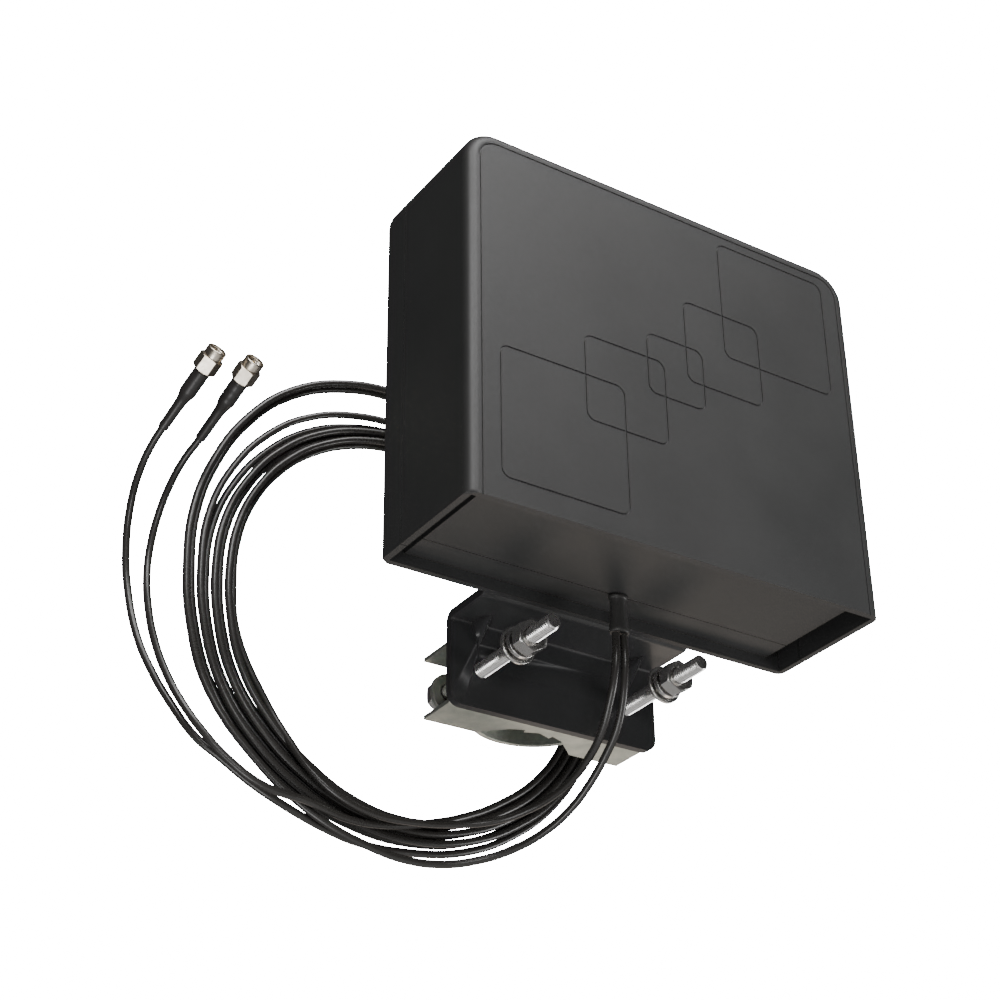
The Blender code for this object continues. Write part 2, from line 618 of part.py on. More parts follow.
# ---------------------------------------------------------------- inside the housing
def make_reflector(aluminium):
    outline = rectangle(HOUSING_WIDTH / 2 - REFLECTOR_SIDE_MARGIN,
                        HOUSING_BOTTOM + REFLECTOR_END_MARGIN, HOUSING_TOP - REFLECTOR_END_MARGIN)
    plate = prism("reflector_plate", [rounded(outline, [REFLECTOR_CORNER_RADIUS] * 4, steps=3)], 'Y',
                  REFLECTOR_FRONT, REFLECTOR_REAR, aluminium)
    for i, (x, z) in enumerate(BRACKET_SCREW_PLACES):
        hole = cylinder_y(f"reflector_hole_{i}", x, z, BRACKET_SCREW_RADIUS + SCREW_CLEARANCE,
                          REFLECTOR_FRONT - MM, REFLECTOR_REAR + MM, steps=16)
        boolean(plate, hole)


def make_radiators(laminate, brass):
    for side, label in ((-1, "left"), (1, "right")):
        middle = side * BOARD_OFFSET
        half = BOARD_SIZE / 2
        corners = [(middle + u * half, HOUSING_MIDDLE + v * half)
                   for u, v in ((-1, -1), (1, -1), (1, 1), (-1, 1))]
        prism("radiator_board_" + label, [rounded(corners, [BOARD_CORNER_RADIUS] * 4, steps=2)], 'Y',
              BOARD_REAR - BOARD_THICKNESS, BOARD_REAR, laminate)
        for step, level in ((-1, "low"), (1, "high")):
            reach = half - STANDOFF_INSET
            cylinder_y(f"standoff_{label}_{level}", middle + side * step * reach,
                       HOUSING_MIDDLE + step * reach, STANDOFF_RADIUS,
                       STANDOFF_REAR - STANDOFF_LENGTH, STANDOFF_REAR, brass, 35.0, steps=16)


def make_feeds(jacket):
    for label, side, points in (("a", -1, FEED_A_ROUTE), ("b", 1, FEED_B_ROUTE)):
        end = Vector((BOOT_X + side * LEAD_PITCH / 2, SEAM,
                      BOOT_FLANGE_BOTTOM + BOOT_FLANGE_HEIGHT + GAP))
        above = end + Vector((0.0, 0.0, FEED_STRAIGHT))
        path = smooth_path(route(points) + [above, end], 2 * FEED_DIAMETER)
        tube("feed_cable_" + label, path, FEED_DIAMETER, jacket)


# ---------------------------------------------------------------- cable boot
def make_boot(rubber):
    collar_bottom = FLOOR_BOTTOM - GAP - BOOT_COLLAR_HEIGHT
    profile = [
        (0.0, BOOT_FLANGE_BOTTOM + BOOT_FLANGE_HEIGHT),
        (BOOT_FLANGE_RADIUS, BOOT_FLANGE_BOTTOM + BOOT_FLANGE_HEIGHT),
        (BOOT_FLANGE_RADIUS, BOOT_FLANGE_BOTTOM),
        (BOOT_NECK_RADIUS, BOOT_FLANGE_BOTTOM),
        (BOOT_NECK_RADIUS, FLOOR_BOTTOM - GAP),
        (BOOT_COLLAR_RADIUS, FLOOR_BOTTOM - GAP),
        (BOOT_COLLAR_RADIUS, collar_bottom),
        (BOOT_TOP_RADIUS, collar_bottom - BOOT_LIP),
        (BOOT_END_RADIUS, BOOT_BOTTOM + BOOT_LIP),
        (BOOT_END_RADIUS - BOOT_LIP, BOOT_BOTTOM),
        (0.0, BOOT_BOTTOM)]
    boot = turned("cable_boot", profile, rubber, steps=28)
    boot.scale = (1.0, BOOT_DEPTH_RATIO, 1.0)
    boot.location = (BOOT_X, SEAM, 0.0)


# ---------------------------------------------------------------- bracket
def make_bracket(steel):
    outer_bend = BRACKET_BEND_RADIUS + BRACKET_THICKNESS
    shelf_top = SHELF_BOTTOM + BRACKET_THICKNESS
    corners = [(FLANGE_FRONT, FLANGE_TOP), (FLANGE_FRONT, SHELF_BOTTOM),
               (PLATE_FRONT, SHELF_BOTTOM), (PLATE_FRONT, PLATE_BOTTOM),
               (PLATE_REAR, PLATE_BOTTOM), (PLATE_REAR, shelf_top),
               (FLANGE_REAR, shelf_top), (FLANGE_REAR, FLANGE_TOP)]
    radii = [0.0, outer_bend, BRACKET_BEND_RADIUS, 0.0, 0.0, outer_bend, BRACKET_BEND_RADIUS, 0.0]
    half = BRACKET_WIDTH / 2
    bracket = prism("mast_bracket", [rounded(corners, radii, steps=5)], 'X',
                    -half - MM, half + MM, steel)
    face = rounded(rectangle(half, PLATE_BOTTOM, FLANGE_TOP), [BRACKET_CORNER_RADIUS] * 4)
    trim = prism("bracket_trim", [face], 'Y', FLANGE_FRONT - MM, PLATE_REAR + MM)
    boolean(bracket, trim, 'INTERSECT')
    for side in (-1, 1):
        boolean(bracket, dart(f"dart_{side + 1}", side * DART_SPREAD), 'UNION')
    for i, side in enumerate((-1, 1)):
        hole = cylinder_y(f"plate_hole_{i}", side * BOLT_SPREAD, BOLT_LEVEL, BOLT_RADIUS + GAP,
                          PLATE_FRONT - MM, PLATE_REAR + MM)
        boolean(bracket, hole)
    for i, (x, z) in enumerate(BRACKET_SCREW_PLACES):
        hole = cylinder_y(f"flange_hole_{i}", x, z, BRACKET_SCREW_RADIUS + SCREW_CLEARANCE,
                          FLANGE_FRONT - MM, FLANGE_REAR + MM)
        boolean(bracket, hole)


def dart(name, x):
    """A pressed stiffening dart across the inside of the bend."""
    points = [(x, PLATE_FRONT - DART_LEG, SHELF_BOTTOM),
              (x, PLATE_FRONT - DART_LEG, SHELF_BOTTOM + DART_SINK),
              (x, PLATE_FRONT, SHELF_BOTTOM - DART_LEG),
              (x, PLATE_FRONT + DART_SINK, SHELF_BOTTOM - DART_LEG),
              (x - DART_HALF_WIDTH, PLATE_FRONT + DART_SINK, SHELF_BOTTOM + DART_SINK),
              (x + DART_HALF_WIDTH, PLATE_FRONT + DART_SINK, SHELF_BOTTOM + DART_SINK),
              (x - DART_HALF_WIDTH, PLATE_FRONT, SHELF_BOTTOM),
              (x + DART_HALF_WIDTH, PLATE_FRONT, SHELF_BOTTOM)]
    bm = bmesh.new()
    for point in points:
        bm.verts.new(point)
    bmesh.ops.convex_hull(bm, input=bm.verts)
    bmesh.ops.recalc_face_normals(bm, faces=bm.faces)
    mesh = bpy.data.meshes.new(name)
    bm.to_mesh(mesh)
    bm.free()
    return add_object(name, mesh)


def make_bracket_screws(steel):
    """Screws through the flange, the rear cover and the reflector, with nuts inside."""
    seat = FLANGE_REAR + GAP
    nut_rear = REFLECTOR_FRONT - GAP
    length = seat - REFLECTOR_FRONT + BRACKET_SCREW_STICKS_OUT
    for i, (x, z) in enumerate(BRACKET_SCREW_PLACES):
        profile = pan_head(BRACKET_SCREW_HEAD_RADIUS, BRACKET_SCREW_HEAD_HEIGHT)
        profile += [(BRACKET_SCREW_RADIUS, 0.0), (BRACKET_SCREW_RADIUS, -length), (0.0, -length)]
        screw = turned(f"bracket_screw_{i + 1}", profile, steel, steps=24)
        screw.rotation_euler = (-math.pi / 2, 0.0, 0.0)
        screw.location = (x, seat, z)
        nut = hex_bar(f"bracket_nut_{i + 1}", BRACKET_NUT_ACROSS_FLATS, 0.0, BRACKET_NUT_HEIGHT,
                      steel)
        bore = turned(f"bracket_nut_bore_{i}", bar_profile(
            BRACKET_SCREW_RADIUS + GAP, -MM, BRACKET_NUT_HEIGHT + MM), steps=16)
        boolean(nut, bore)
        for piece in (nut, bore):
            along_front(piece, x, nut_rear, z)


def bar_profile(radius, low, high):
    return [(0.0, high), (radius, high), (radius, low), (0.0, low)]


# ---------------------------------------------------------------- clamp
def make_jaw(zinc):
    half = JAW_HEIGHT / 2
    web_rear = JAW_FRONT + JAW_SHEET
    corners = [(JAW_TIP, -half), (JAW_TIP, -half + JAW_SHEET), (web_rear, -half + JAW_SHEET),
               (web_rear, half - JAW_SHEET), (JAW_TIP, half - JAW_SHEET), (JAW_TIP, half),
               (JAW_FRONT, half), (JAW_FRONT, -half)]
    outer_bend = JAW_BEND_RADIUS + JAW_SHEET
    radii = [0.0, 0.0, JAW_BEND_RADIUS, JAW_BEND_RADIUS, 0.0, 0.0, outer_bend, outer_bend]
    jaw = prism("clamp_jaw", [rounded(corners, radii, steps=4)], 'X',
                -JAW_WIDTH / 2, JAW_WIDTH / 2, zinc)
    boolean(jaw, prism("jaw_notch", [notch_outline()], 'Z', -JAW_HEIGHT, JAW_HEIGHT))
    for i, side in enumerate((-1, 1)):
        hole = cylinder_y(f"jaw_hole_{i}", side * BOLT_SPREAD, BOLT_LEVEL, BOLT_RADIUS + GAP,
                          JAW_FRONT - MM, web_rear + MM)
        boolean(jaw, hole)


def notch_outline():
    """A notch with slanting sides and a toothed floor, each tooth facing the middle."""
    side = [(NOTCH_HALF_WIDTH + MM, JAW_TIP + MM), (NOTCH_HALF_WIDTH, JAW_TIP)]
    pitch = NOTCH_FLOOR_HALF_WIDTH / TEETH_PER_SIDE
    for tooth in range(TEETH_PER_SIDE):
        x = NOTCH_FLOOR_HALF_WIDTH - tooth * pitch
        side.append((x, NOTCH_FLOOR))
        side.append((x - pitch + TOOTH_ROOT_WIDTH, NOTCH_FLOOR - TOOTH_DEPTH))
    return side + [(-u, v) for u, v in reversed(side)]


def arc(radius, start, end, steps):
    """Points on the saddle's bend from one angle to another."""
    points = []
    for k in range(steps + 1):
        angle = start + (end - start) * k / steps
        points.append((radius * math.cos(angle), SADDLE_ARC_CENTRE + radius * math.sin(angle)))
    return points


def make_saddle(zinc):
    outer = SADDLE_BEND_RADIUS + SADDLE_SHEET
    end = SADDLE_WIDTH / 2
    outer_start = math.asin((SADDLE_EAR_REAR - SADDLE_ARC_CENTRE) / outer)
    inner_start = math.asin((SADDLE_EAR_FRONT - SADDLE_ARC_CENTRE) / SADDLE_BEND_RADIUS)
    outline = [(end, SADDLE_EAR_FRONT), (end, SADDLE_EAR_REAR)]
    outline += arc(outer, outer_start, math.pi - outer_start, 20)
    outline += [(-end, SADDLE_EAR_REAR), (-end, SADDLE_EAR_FRONT)]
    outline += arc(SADDLE_BEND_RADIUS, math.pi - inner_start, inner_start, 20)
    saddle = prism("clamp_saddle", [outline], 'Z', -SADDLE_HEIGHT, SADDLE_HEIGHT, zinc)
    half = SADDLE_HEIGHT / 2
    face = rounded(rectangle(end, BOLT_LEVEL - half, BOLT_LEVEL + half),
                   [EAR_CORNER_RADIUS] * 4)
    trim = prism("saddle_trim", [face], 'Y', SADDLE_EAR_FRONT - MM, SADDLE_REAR + MM)
    boolean(saddle, trim, 'INTERSECT')
    for i, side in enumerate((-1, 1)):
        hole = cylinder_y(f"saddle_hole_{i}", side * BOLT_SPREAD, BOLT_LEVEL, BOLT_RADIUS + GAP,
                          SADDLE_EAR_FRONT - MM, SADDLE_EAR_REAR + MM)
        boolean(saddle, hole)


def make_fasteners(steel):
    for side, label in ((-1, "left"), (1, "right")):
        x = side * BOLT_SPREAD
        bolt = turned("clamp_bolt_" + label, [
            (0.0, BOLT_LENGTH), (BOLT_RADIUS - BOLT_CHAMFER, BOLT_LENGTH),
            (BOLT_RADIUS, BOLT_LENGTH - BOLT_CHAMFER), (BOLT_RADIUS, -BURIED), (0.0, -BURIED)],
            steel, steps=24)
        head = hex_bar("bolt_head_" + label, HEX_ACROSS_FLATS, -HEAD_HEIGHT, 0.0)
        blank = chamfer_guide("bolt_head_blank_" + label, HEX_ACROSS_FLATS, -HEAD_HEIGHT, 0.0,
                              cut_high=False)
        boolean(head, blank, 'INTERSECT')
        boolean(bolt, head, 'UNION')
        for piece in (bolt, head, blank):
            along_front(piece, x, HEAD_FRONT, BOLT_LEVEL)

        bore_radius = BOLT_RADIUS + GAP
        nut = hex_bar("clamp_nut_" + label, HEX_ACROSS_FLATS, 0.0, NUT_HEIGHT, steel)
        blank = chamfer_guide("nut_blank_" + label, HEX_ACROSS_FLATS, 0.0, NUT_HEIGHT)
        bore = turned("nut_bore_" + label, bar_profile(bore_radius, -MM, NUT_HEIGHT + MM), steps=24)
        boolean(nut, blank, 'INTERSECT')
        boolean(nut, bore)
        for piece in (nut, blank, bore):
            along_front(piece, x, NUT_FRONT + NUT_HEIGHT, BOLT_LEVEL)

        spring = turned("spring_washer_" + label, ring_profile(
            SPRING_WASHER_RADIUS, bore_radius, 0.0, SPRING_WASHER_THICKNESS),
            steel, steps=28, closed=True)
        split = prism("washer_split_" + label, [rectangle(SPRING_WASHER_SPLIT / 2, 0.0,
                                                          2 * SPRING_WASHER_RADIUS)],
                      'Z', -MM, SPRING_WASHER_THICKNESS + MM)
        boolean(spring, split)
        for piece in (spring, split):
            along_front(piece, x, SPRING_WASHER_FRONT + SPRING_WASHER_THICKNESS, BOLT_LEVEL)

        flat = turned("flat_washer_" + label, ring_profile(
            FLAT_WASHER_RADIUS, bore_radius, 0.0, FLAT_WASHER_THICKNESS),
            steel, steps=28, closed=True)
        along_front(flat, x, FLAT_WASHER_FRONT + FLAT_WASHER_THICKNESS, BOLT_LEVEL)


# ---------------------------------------------------------------- coil, its hook and strap
def make_coil(jacket):
    half = COIL_THICKNESS / 2
    section = rounded([(COIL_OUTER_RADIUS, half), (COIL_OUTER_RADIUS, -half),
                       (COIL_INNER_RADIUS, -half), (COIL_INNER_RADIUS, half)],
                      [COIL_EDGE_ROUNDING] * 4, steps=2)
    coil = turned("cable_coil", [tuple(p) for p in section], jacket, steps=64, closed=True)
    along_front(coil, *COIL_CENTRE)


def make_hook(steel):
    """A round peg on the flange, turned up at its end, that the coil hangs on."""
    x = COIL_CENTRE.x
    foot_front = FLANGE_REAR + GAP
    end_y = COIL_CENTRE.y + COIL_THICKNESS / 2 + HOOK_REACH
    path = [Vector((x, foot_front + MM, HOOK_Z)), Vector((x, 0.0, HOOK_Z))]
    for k in range(7):
        angle = math.pi / 2 * k / 6
        path.append(Vector((x, end_y - HOOK_BEND_RADIUS * (1 - math.sin(angle)),
                            HOOK_Z + HOOK_BEND_RADIUS * (1 - math.cos(angle)))))
    path.append(Vector((x, end_y, HOOK_Z + HOOK_TIP_RISE)))
    rod = tube("cable_hook", path, 2 * HOOK_RADIUS, steel)
    rod.data.bevel_resolution = 3
    foot = cylinder_y("hook_foot", x, HOOK_Z, HOOK_FOOT_RADIUS, foot_front,
                      foot_front + HOOK_FOOT_THICKNESS)
    depsgraph = bpy.context.evaluated_depsgraph_get()
    mesh = bpy.data.meshes.new_from_object(rod.evaluated_get(depsgraph))
    bm = bmesh.new()
    bm.from_mesh(mesh)
    bmesh.ops.remove_doubles(bm, verts=bm.verts, dist=0.001 * MM)
    bmesh.ops.recalc_face_normals(bm, faces=bm.faces)
    bm.to_mesh(mesh)
    bm.free()
    bpy.data.objects.remove(rod)
    hook = add_object("cable_hook", mesh, steel)
    boolean(hook, foot, 'UNION')


def make_strap(webbing):
    """A strap round the coil that keeps its turns together."""
    inner_side = math.sqrt(COIL_INNER_RADIUS ** 2 - (STRAP_WIDTH / 2) ** 2)
    rings = []
    for grow in (GAP + STRAP_THICKNESS, GAP):
        inner = inner_side - grow
        outer = COIL_OUTER_RADIUS + grow
        half = COIL_THICKNESS / 2 + grow
        corners = [(inner, -half), (outer, -half), (outer, half), (inner, half)]
        rings.append(rounded(corners, [COIL_EDGE_ROUNDING + grow] * 4, steps=3))
    strap = prism("coil_strap", rings, 'Z', -STRAP_WIDTH / 2, STRAP_WIDTH / 2, webbing)
    strap.rotation_euler = (0.0, -STRAP_ANGLE, 0.0)
    strap.location = COIL_CENTRE


def make_leads(jacket):
    for label, side, points in (("a", -1, LEAD_A_ROUTE), ("b", 1, LEAD_B_ROUTE)):
        start = Vector((BOOT_X + side * LEAD_PITCH / 2, SEAM, BOOT_BOTTOM - GAP))
        path = smooth_path([start] + route(points), LEAD_POINT_SPACING)
        tube("lead_" + label, path, LEAD_DIAMETER, jacket)
    for label, points, place, axis, length in (
            ("a", TAIL_A_ROUTE, PLUG_A_PLACE, PLUG_A_AXIS, PLUG_A_SLEEVE_LENGTH),
            ("b", TAIL_B_ROUTE, PLUG_B_PLACE, PLUG_B_AXIS, PLUG_B_SLEEVE_LENGTH)):
        end = place - axis.normalized() * (length + GAP)
        path = smooth_path(route(points) + [end], LEAD_POINT_SPACING)
        tube("tail_" + label, path, LEAD_DIAMETER, jacket)


# ---------------------------------------------------------------- plugs
def make_plug(label, place, axis, sleeve_length, nickel, gold, rubber):
    """A screw-on coaxial plug along local Z, on an empty at the nut's rear face."""
    holder = bpy.data.objects.new(f"plug_{label}_axis", None)
    PARTS.objects.link(holder)
    holder.location = place
    holder.rotation_euler = axis.to_track_quat('Z', 'Y').to_euler()

    wide_end = -GAP
    taper_top = -SLEEVE_WIDE_LENGTH
    taper_bottom = taper_top - SLEEVE_TAPER_LENGTH
    sleeve = turned("shrink_sleeve_" + label, [
        (0.0, wide_end), (SLEEVE_WIDE_RADIUS, wide_end), (SLEEVE_WIDE_RADIUS, taper_top),
        (SLEEVE_NARROW_RADIUS, taper_bottom), (SLEEVE_END_RADIUS, -sleeve_length),
        (0.0, -sleeve_length)], rubber, steps=20)

    total = PLUG_HEX_LENGTH + PLUG_COLLAR_LENGTH
    edge = PLUG_EDGE
    nut = hex_bar("plug_nut_" + label, PLUG_HEX_ACROSS_FLATS, 0.0, PLUG_HEX_LENGTH, nickel)
    blank = chamfer_guide("plug_blank_" + label, PLUG_HEX_ACROSS_FLATS, 0.0, PLUG_HEX_LENGTH)
    boolean(nut, blank, 'INTERSECT')
    collar = turned("plug_collar_" + label, [
        (0.0, total), (PLUG_COLLAR_RADIUS - edge, total), (PLUG_COLLAR_RADIUS, total - edge),
        (PLUG_COLLAR_RADIUS, PLUG_HEX_LENGTH - MM), (0.0, PLUG_HEX_LENGTH - MM)], steps=28)
    boolean(nut, collar, 'UNION')
    bore = turned("plug_bore_" + label, [
        (0.0, total + MM), (PLUG_BORE_RADIUS, total + MM), (PLUG_BORE_RADIUS, PLUG_BACK_WALL),
        (PLUG_BARREL_RADIUS + GAP, PLUG_BACK_WALL), (PLUG_BARREL_RADIUS + GAP, -MM),
        (0.0, -MM)], steps=28)
    boolean(nut, bore)

    flange_back = PLUG_BACK_WALL + GAP
    flange_front = flange_back + PLUG_FLANGE_THICKNESS
    face = flange_front + PLUG_FACE_HEIGHT
    body = turned("plug_body_" + label, [
        (0.0, face), (PLUG_BARREL_RADIUS, face), (PLUG_BARREL_RADIUS, flange_front),
        (PLUG_FLANGE_RADIUS, flange_front), (PLUG_FLANGE_RADIUS, flange_back),
        (PLUG_BARREL_RADIUS, flange_back),
        (PLUG_BARREL_RADIUS, 0.0), (0.0, 0.0)], nickel, steps=24)
    pin_bottom = face + GAP
    tip = total - PLUG_PIN_RECESS
    pin = turned("plug_pin_" + label, [
        (0.0, tip), (PLUG_PIN_RADIUS, tip - PLUG_PIN_POINT),
        (PLUG_PIN_RADIUS, pin_bottom), (0.0, pin_bottom)], gold, steps=12)
    for piece in (sleeve, nut, blank, collar, bore, body, pin):
        piece.parent = holder


# ---------------------------------------------------------------- build
clear_scene()
PARTS = new_collection("panel_antenna")
CUTTERS = new_collection("cutters")

black_plastic = new_material("black_plastic", (0.030, 0.030, 0.031), 0.55, 0.0)
black_rubber = new_material("black_rubber", (0.018, 0.018, 0.018), 0.70, 0.0)
black_steel = new_material("black_painted_steel", (0.028, 0.028, 0.030), 0.40, 0.3)
zinc_steel = new_material("zinc_plated_steel", (0.48, 0.50, 0.45), 0.45, 0.8)
bright_steel = new_material("bright_steel", (0.62, 0.61, 0.59), 0.25, 1.0)
cable_jacket = new_material("cable_jacket", (0.022, 0.020, 0.019), 0.35, 0.0)
aluminium = new_material("aluminium", (0.70, 0.71, 0.72), 0.35, 1.0)
circuit_laminate = new_material("circuit_laminate", (0.10, 0.28, 0.12), 0.45, 0.0)
brass = new_material("brass", (0.72, 0.55, 0.25), 0.30, 1.0)
nickel = new_material("nickel_plate", (0.58, 0.54, 0.46), 0.28, 1.0)
gold = new_material("gold_plate", (0.85, 0.62, 0.22), 0.22, 1.0)
webbing = new_material("strap_webbing", (0.020, 0.020, 0.022), 0.85, 0.0)

make_front_cover(black_plastic)
make_rear_cover(black_plastic)
make_cover_seal(black_rubber)
make_cover_screws(bright_steel)
make_reflector(aluminium)
make_radiators(circuit_laminate, brass)
make_feeds(cable_jacket)
make_boot(black_rubber)
make_bracket(black_steel)
make_bracket_screws(bright_steel)
make_jaw(zinc_steel)
make_saddle(zinc_steel)
make_fasteners(bright_steel)
make_coil(cable_jacket)
make_hook(black_steel)
make_strap(webbing)
make_leads(cable_jacket)
make_plug("a", PLUG_A_PLACE, PLUG_A_AXIS, PLUG_A_SLEEVE_LENGTH, nickel, gold, black_rubber)
make_plug("b", PLUG_B_PLACE, PLUG_B_AXIS, PLUG_B_SLEEVE_LENGTH, nickel, gold, black_rubber)
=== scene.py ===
# %% [markdown]
# # An outdoor panel antenna on its mast clamp
# The frame is the imported model: it already holds every part at its real size. This script
# gives the parts their looks. It starts by loading the frame.

import json
import math

import bmesh
import bpy
from mathutils import Euler, Matrix, Quaternion, Vector


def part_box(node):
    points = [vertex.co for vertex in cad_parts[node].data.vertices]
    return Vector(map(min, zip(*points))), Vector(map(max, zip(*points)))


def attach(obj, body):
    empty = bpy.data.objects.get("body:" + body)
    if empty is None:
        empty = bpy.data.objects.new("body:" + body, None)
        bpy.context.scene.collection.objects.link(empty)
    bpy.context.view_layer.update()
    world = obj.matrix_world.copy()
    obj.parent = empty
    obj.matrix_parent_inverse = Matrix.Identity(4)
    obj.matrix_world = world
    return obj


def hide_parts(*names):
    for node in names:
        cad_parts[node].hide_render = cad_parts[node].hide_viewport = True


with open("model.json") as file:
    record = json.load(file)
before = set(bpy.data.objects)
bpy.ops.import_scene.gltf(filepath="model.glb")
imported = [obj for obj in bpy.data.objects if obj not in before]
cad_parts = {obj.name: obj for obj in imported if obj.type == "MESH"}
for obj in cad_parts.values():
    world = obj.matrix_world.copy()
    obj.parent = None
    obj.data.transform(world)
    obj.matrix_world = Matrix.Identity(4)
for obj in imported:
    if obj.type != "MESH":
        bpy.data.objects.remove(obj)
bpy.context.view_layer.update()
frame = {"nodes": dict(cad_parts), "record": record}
nodes = frame["nodes"]
MM = 0.001

# %% [markdown]
# ## Camera
# The panel is looked at from low down at its front left, as someone on the ground would see
# it. A camera can be aimed with a Track To constraint or by its rotation. A rotation made
# from the viewing direction needs no target object, and a small roll is one more turn about
# the direction of view. The lens is long, so that the housing's edges stay almost parallel.

# %% Camera
AZIMUTH = math.radians(-35.676)
ELEVATION = math.radians(-30.416)
ROLL = math.radians(-1.959)
CAMERA_PLACE = (-0.38625, -0.57834, -0.30863)
FOCAL_LENGTH = 74.02                # in mm, for a sensor 36 mm wide

camera_data = bpy.data.cameras.new("camera")
camera_data.lens = FOCAL_LENGTH
camera_data.sensor_width = 36.0
camera_data.shift_x = -0.075
camera_data.shift_y = -0.02
camera_data.clip_start = 0.05
camera_data.clip_end = 20.0
camera = bpy.data.objects.new("camera", camera_data)
bpy.context.scene.collection.objects.link(camera)
back = Vector((math.sin(AZIMUTH) * math.cos(ELEVATION), -math.cos(AZIMUTH) * math.cos(ELEVATION),
               math.sin(ELEVATION)))
camera.location = CAMERA_PLACE
camera.rotation_mode = 'QUATERNION'
camera.rotation_quaternion = (-back).to_track_quat('-Z', 'Y') @ Quaternion((0.0, 0.0, 1.0), ROLL)
bpy.context.scene.camera = camera
print("the camera looks along", [round(v, 3) for v in -back])

# %% [markdown]
# ## Light and surroundings
# Black plastic shows its shape only by what it reflects, so the room itself gives little
# light, and a few soft area lamps draw the edges. A dim room would also look dim behind the
# object. A Light Path node solves that: what the camera sees directly is a bright backdrop
# and an evenly pale floor, and all other rays meet the dim room and a plain matt floor. The
# floor lies well below the object, which hangs on its mast.

# %% Studio
FLOOR_LEVEL = -1.2
ROOM_LIGHT = 0.05
BACKDROP_LIGHT = 40.0
FLOOR_REACH = 6.0                   # to each side of the object
FLOOR_COLOUR = (0.8, 0.8, 0.8, 1.0)
FLOOR_SEEN = (0.86, 0.86, 0.86, 1.0)
WHITE = (1.0, 1.0, 1.0, 1.0)


def soft_lamp(name, place, aim, size, power):
    lamp = bpy.data.lights.new(name, 'AREA')
    lamp.shape = 'SQUARE'
    lamp.size = size
    lamp.energy = power
    obj = bpy.data.objects.new(name, lamp)
    bpy.context.scene.collection.objects.link(obj)
    obj.location = place
    obj.rotation_mode = 'QUATERNION'
    obj.rotation_quaternion = (Vector(aim) - Vector(place)).to_track_quat('-Z', 'Y')
    return obj


soft_lamp("key_lamp", (0.15, -1.2, 1.5), (-0.02, -0.1, 0.1), 1.0, 31.0)
soft_lamp("edge_lamp", (-0.95, -1.4, 1.2), (-0.10, -0.1, 0.08), 0.7, 21.0)
soft_lamp("side_lamp", (1.3, -0.6, -0.5), (0.0, -0.05, 0.0), 0.6, 10.0)
soft_lamp("front_lamp", (-0.7, -1.6, -0.2), (0.0, -0.05, -0.02), 0.4, 6.0)
soft_lamp("ground_lamp", (-0.65, -0.33, -0.95), (-0.1, -0.02, 0.05), 0.5, 4.5)
warm = soft_lamp("low_lamp", (0.7, 1.0, -0.95), (0.0, -0.06, 0.02), 0.7, 2.6)
warm.data.color = (1.0, 0.86, 0.74)


def seen_apart(tree, lighting, seen, output_name):
    """Give one shader to the light's rays, and another to what the camera sees directly."""
    rays = tree.nodes.new("ShaderNodeLightPath")
    choose = tree.nodes.new("ShaderNodeMixShader")
    tree.links.new(rays.outputs["Is Camera Ray"], choose.inputs[0])
    tree.links.new(lighting.outputs[0], choose.inputs[1])
    tree.links.new(seen.outputs[0], choose.inputs[2])
    tree.links.new(choose.outputs[0], tree.nodes[output_name].inputs["Surface"])


world = bpy.data.worlds.new("studio")
bpy.context.scene.world = world
world.use_nodes = True
sky = world.node_tree.nodes["Background"]
backdrop = world.node_tree.nodes.new("ShaderNodeBackground")
for shader, strength in ((sky, ROOM_LIGHT), (backdrop, BACKDROP_LIGHT)):
    shader.inputs["Color"].default_value = WHITE
    shader.inputs["Strength"].default_value = strength
seen_apart(world.node_tree, sky, backdrop, "World Output")

floor_mesh = bpy.data.meshes.new("floor")
bm = bmesh.new()
bmesh.ops.create_grid(bm, x_segments=1, y_segments=1, size=FLOOR_REACH)
bm.to_mesh(floor_mesh)
bm.free()
floor = bpy.data.objects.new("floor", floor_mesh)
bpy.context.scene.collection.objects.link(floor)
floor.location = (0.0, 0.0, FLOOR_LEVEL)
pale = bpy.data.materials.new("pale_floor")
pale.use_nodes = True
matt = pale.node_tree.nodes["Principled BSDF"]
matt.inputs["Base Color"].default_value = FLOOR_COLOUR
glow = pale.node_tree.nodes.new("ShaderNodeEmission")
glow.inputs["Color"].default_value = FLOOR_SEEN
seen_apart(pale.node_tree, matt, glow, "Material Output")
floor_mesh.materials.append(pale)
print("floor at", FLOOR_LEVEL)

# %% [markdown]
# ## Shader maths
# A material's nodes can be wired by hand in the editor, or by code. Written as Python
# expressions, the maths is easy to read: `Wire` wraps one socket, and adding or multiplying
# two wires adds the Math node that does it. `Finish` is one material, and its `node` method
# makes any other node.

# %% Wire and Finish


class Wire:
    """A socket that takes part in sums."""

    def __init__(self, finish, socket):
        self.finish = finish
        self.socket = socket

    def _sum(self, operation, first, second):
        return self.finish.node("ShaderNodeMath", {"operation": operation}, {0: first, 1: second})

    def __add__(self, other):
        return self._sum('ADD', self, other)

    def __radd__(self, other):
        return self._sum('ADD', other, self)

    def __sub__(self, other):
        return self._sum('SUBTRACT', self, other)

    def __rsub__(self, other):
        return self._sum('SUBTRACT', other, self)

    def __mul__(self, other):
        return self._sum('MULTIPLY', self, other)

    def __rmul__(self, other):
        return self._sum('MULTIPLY', other, self)


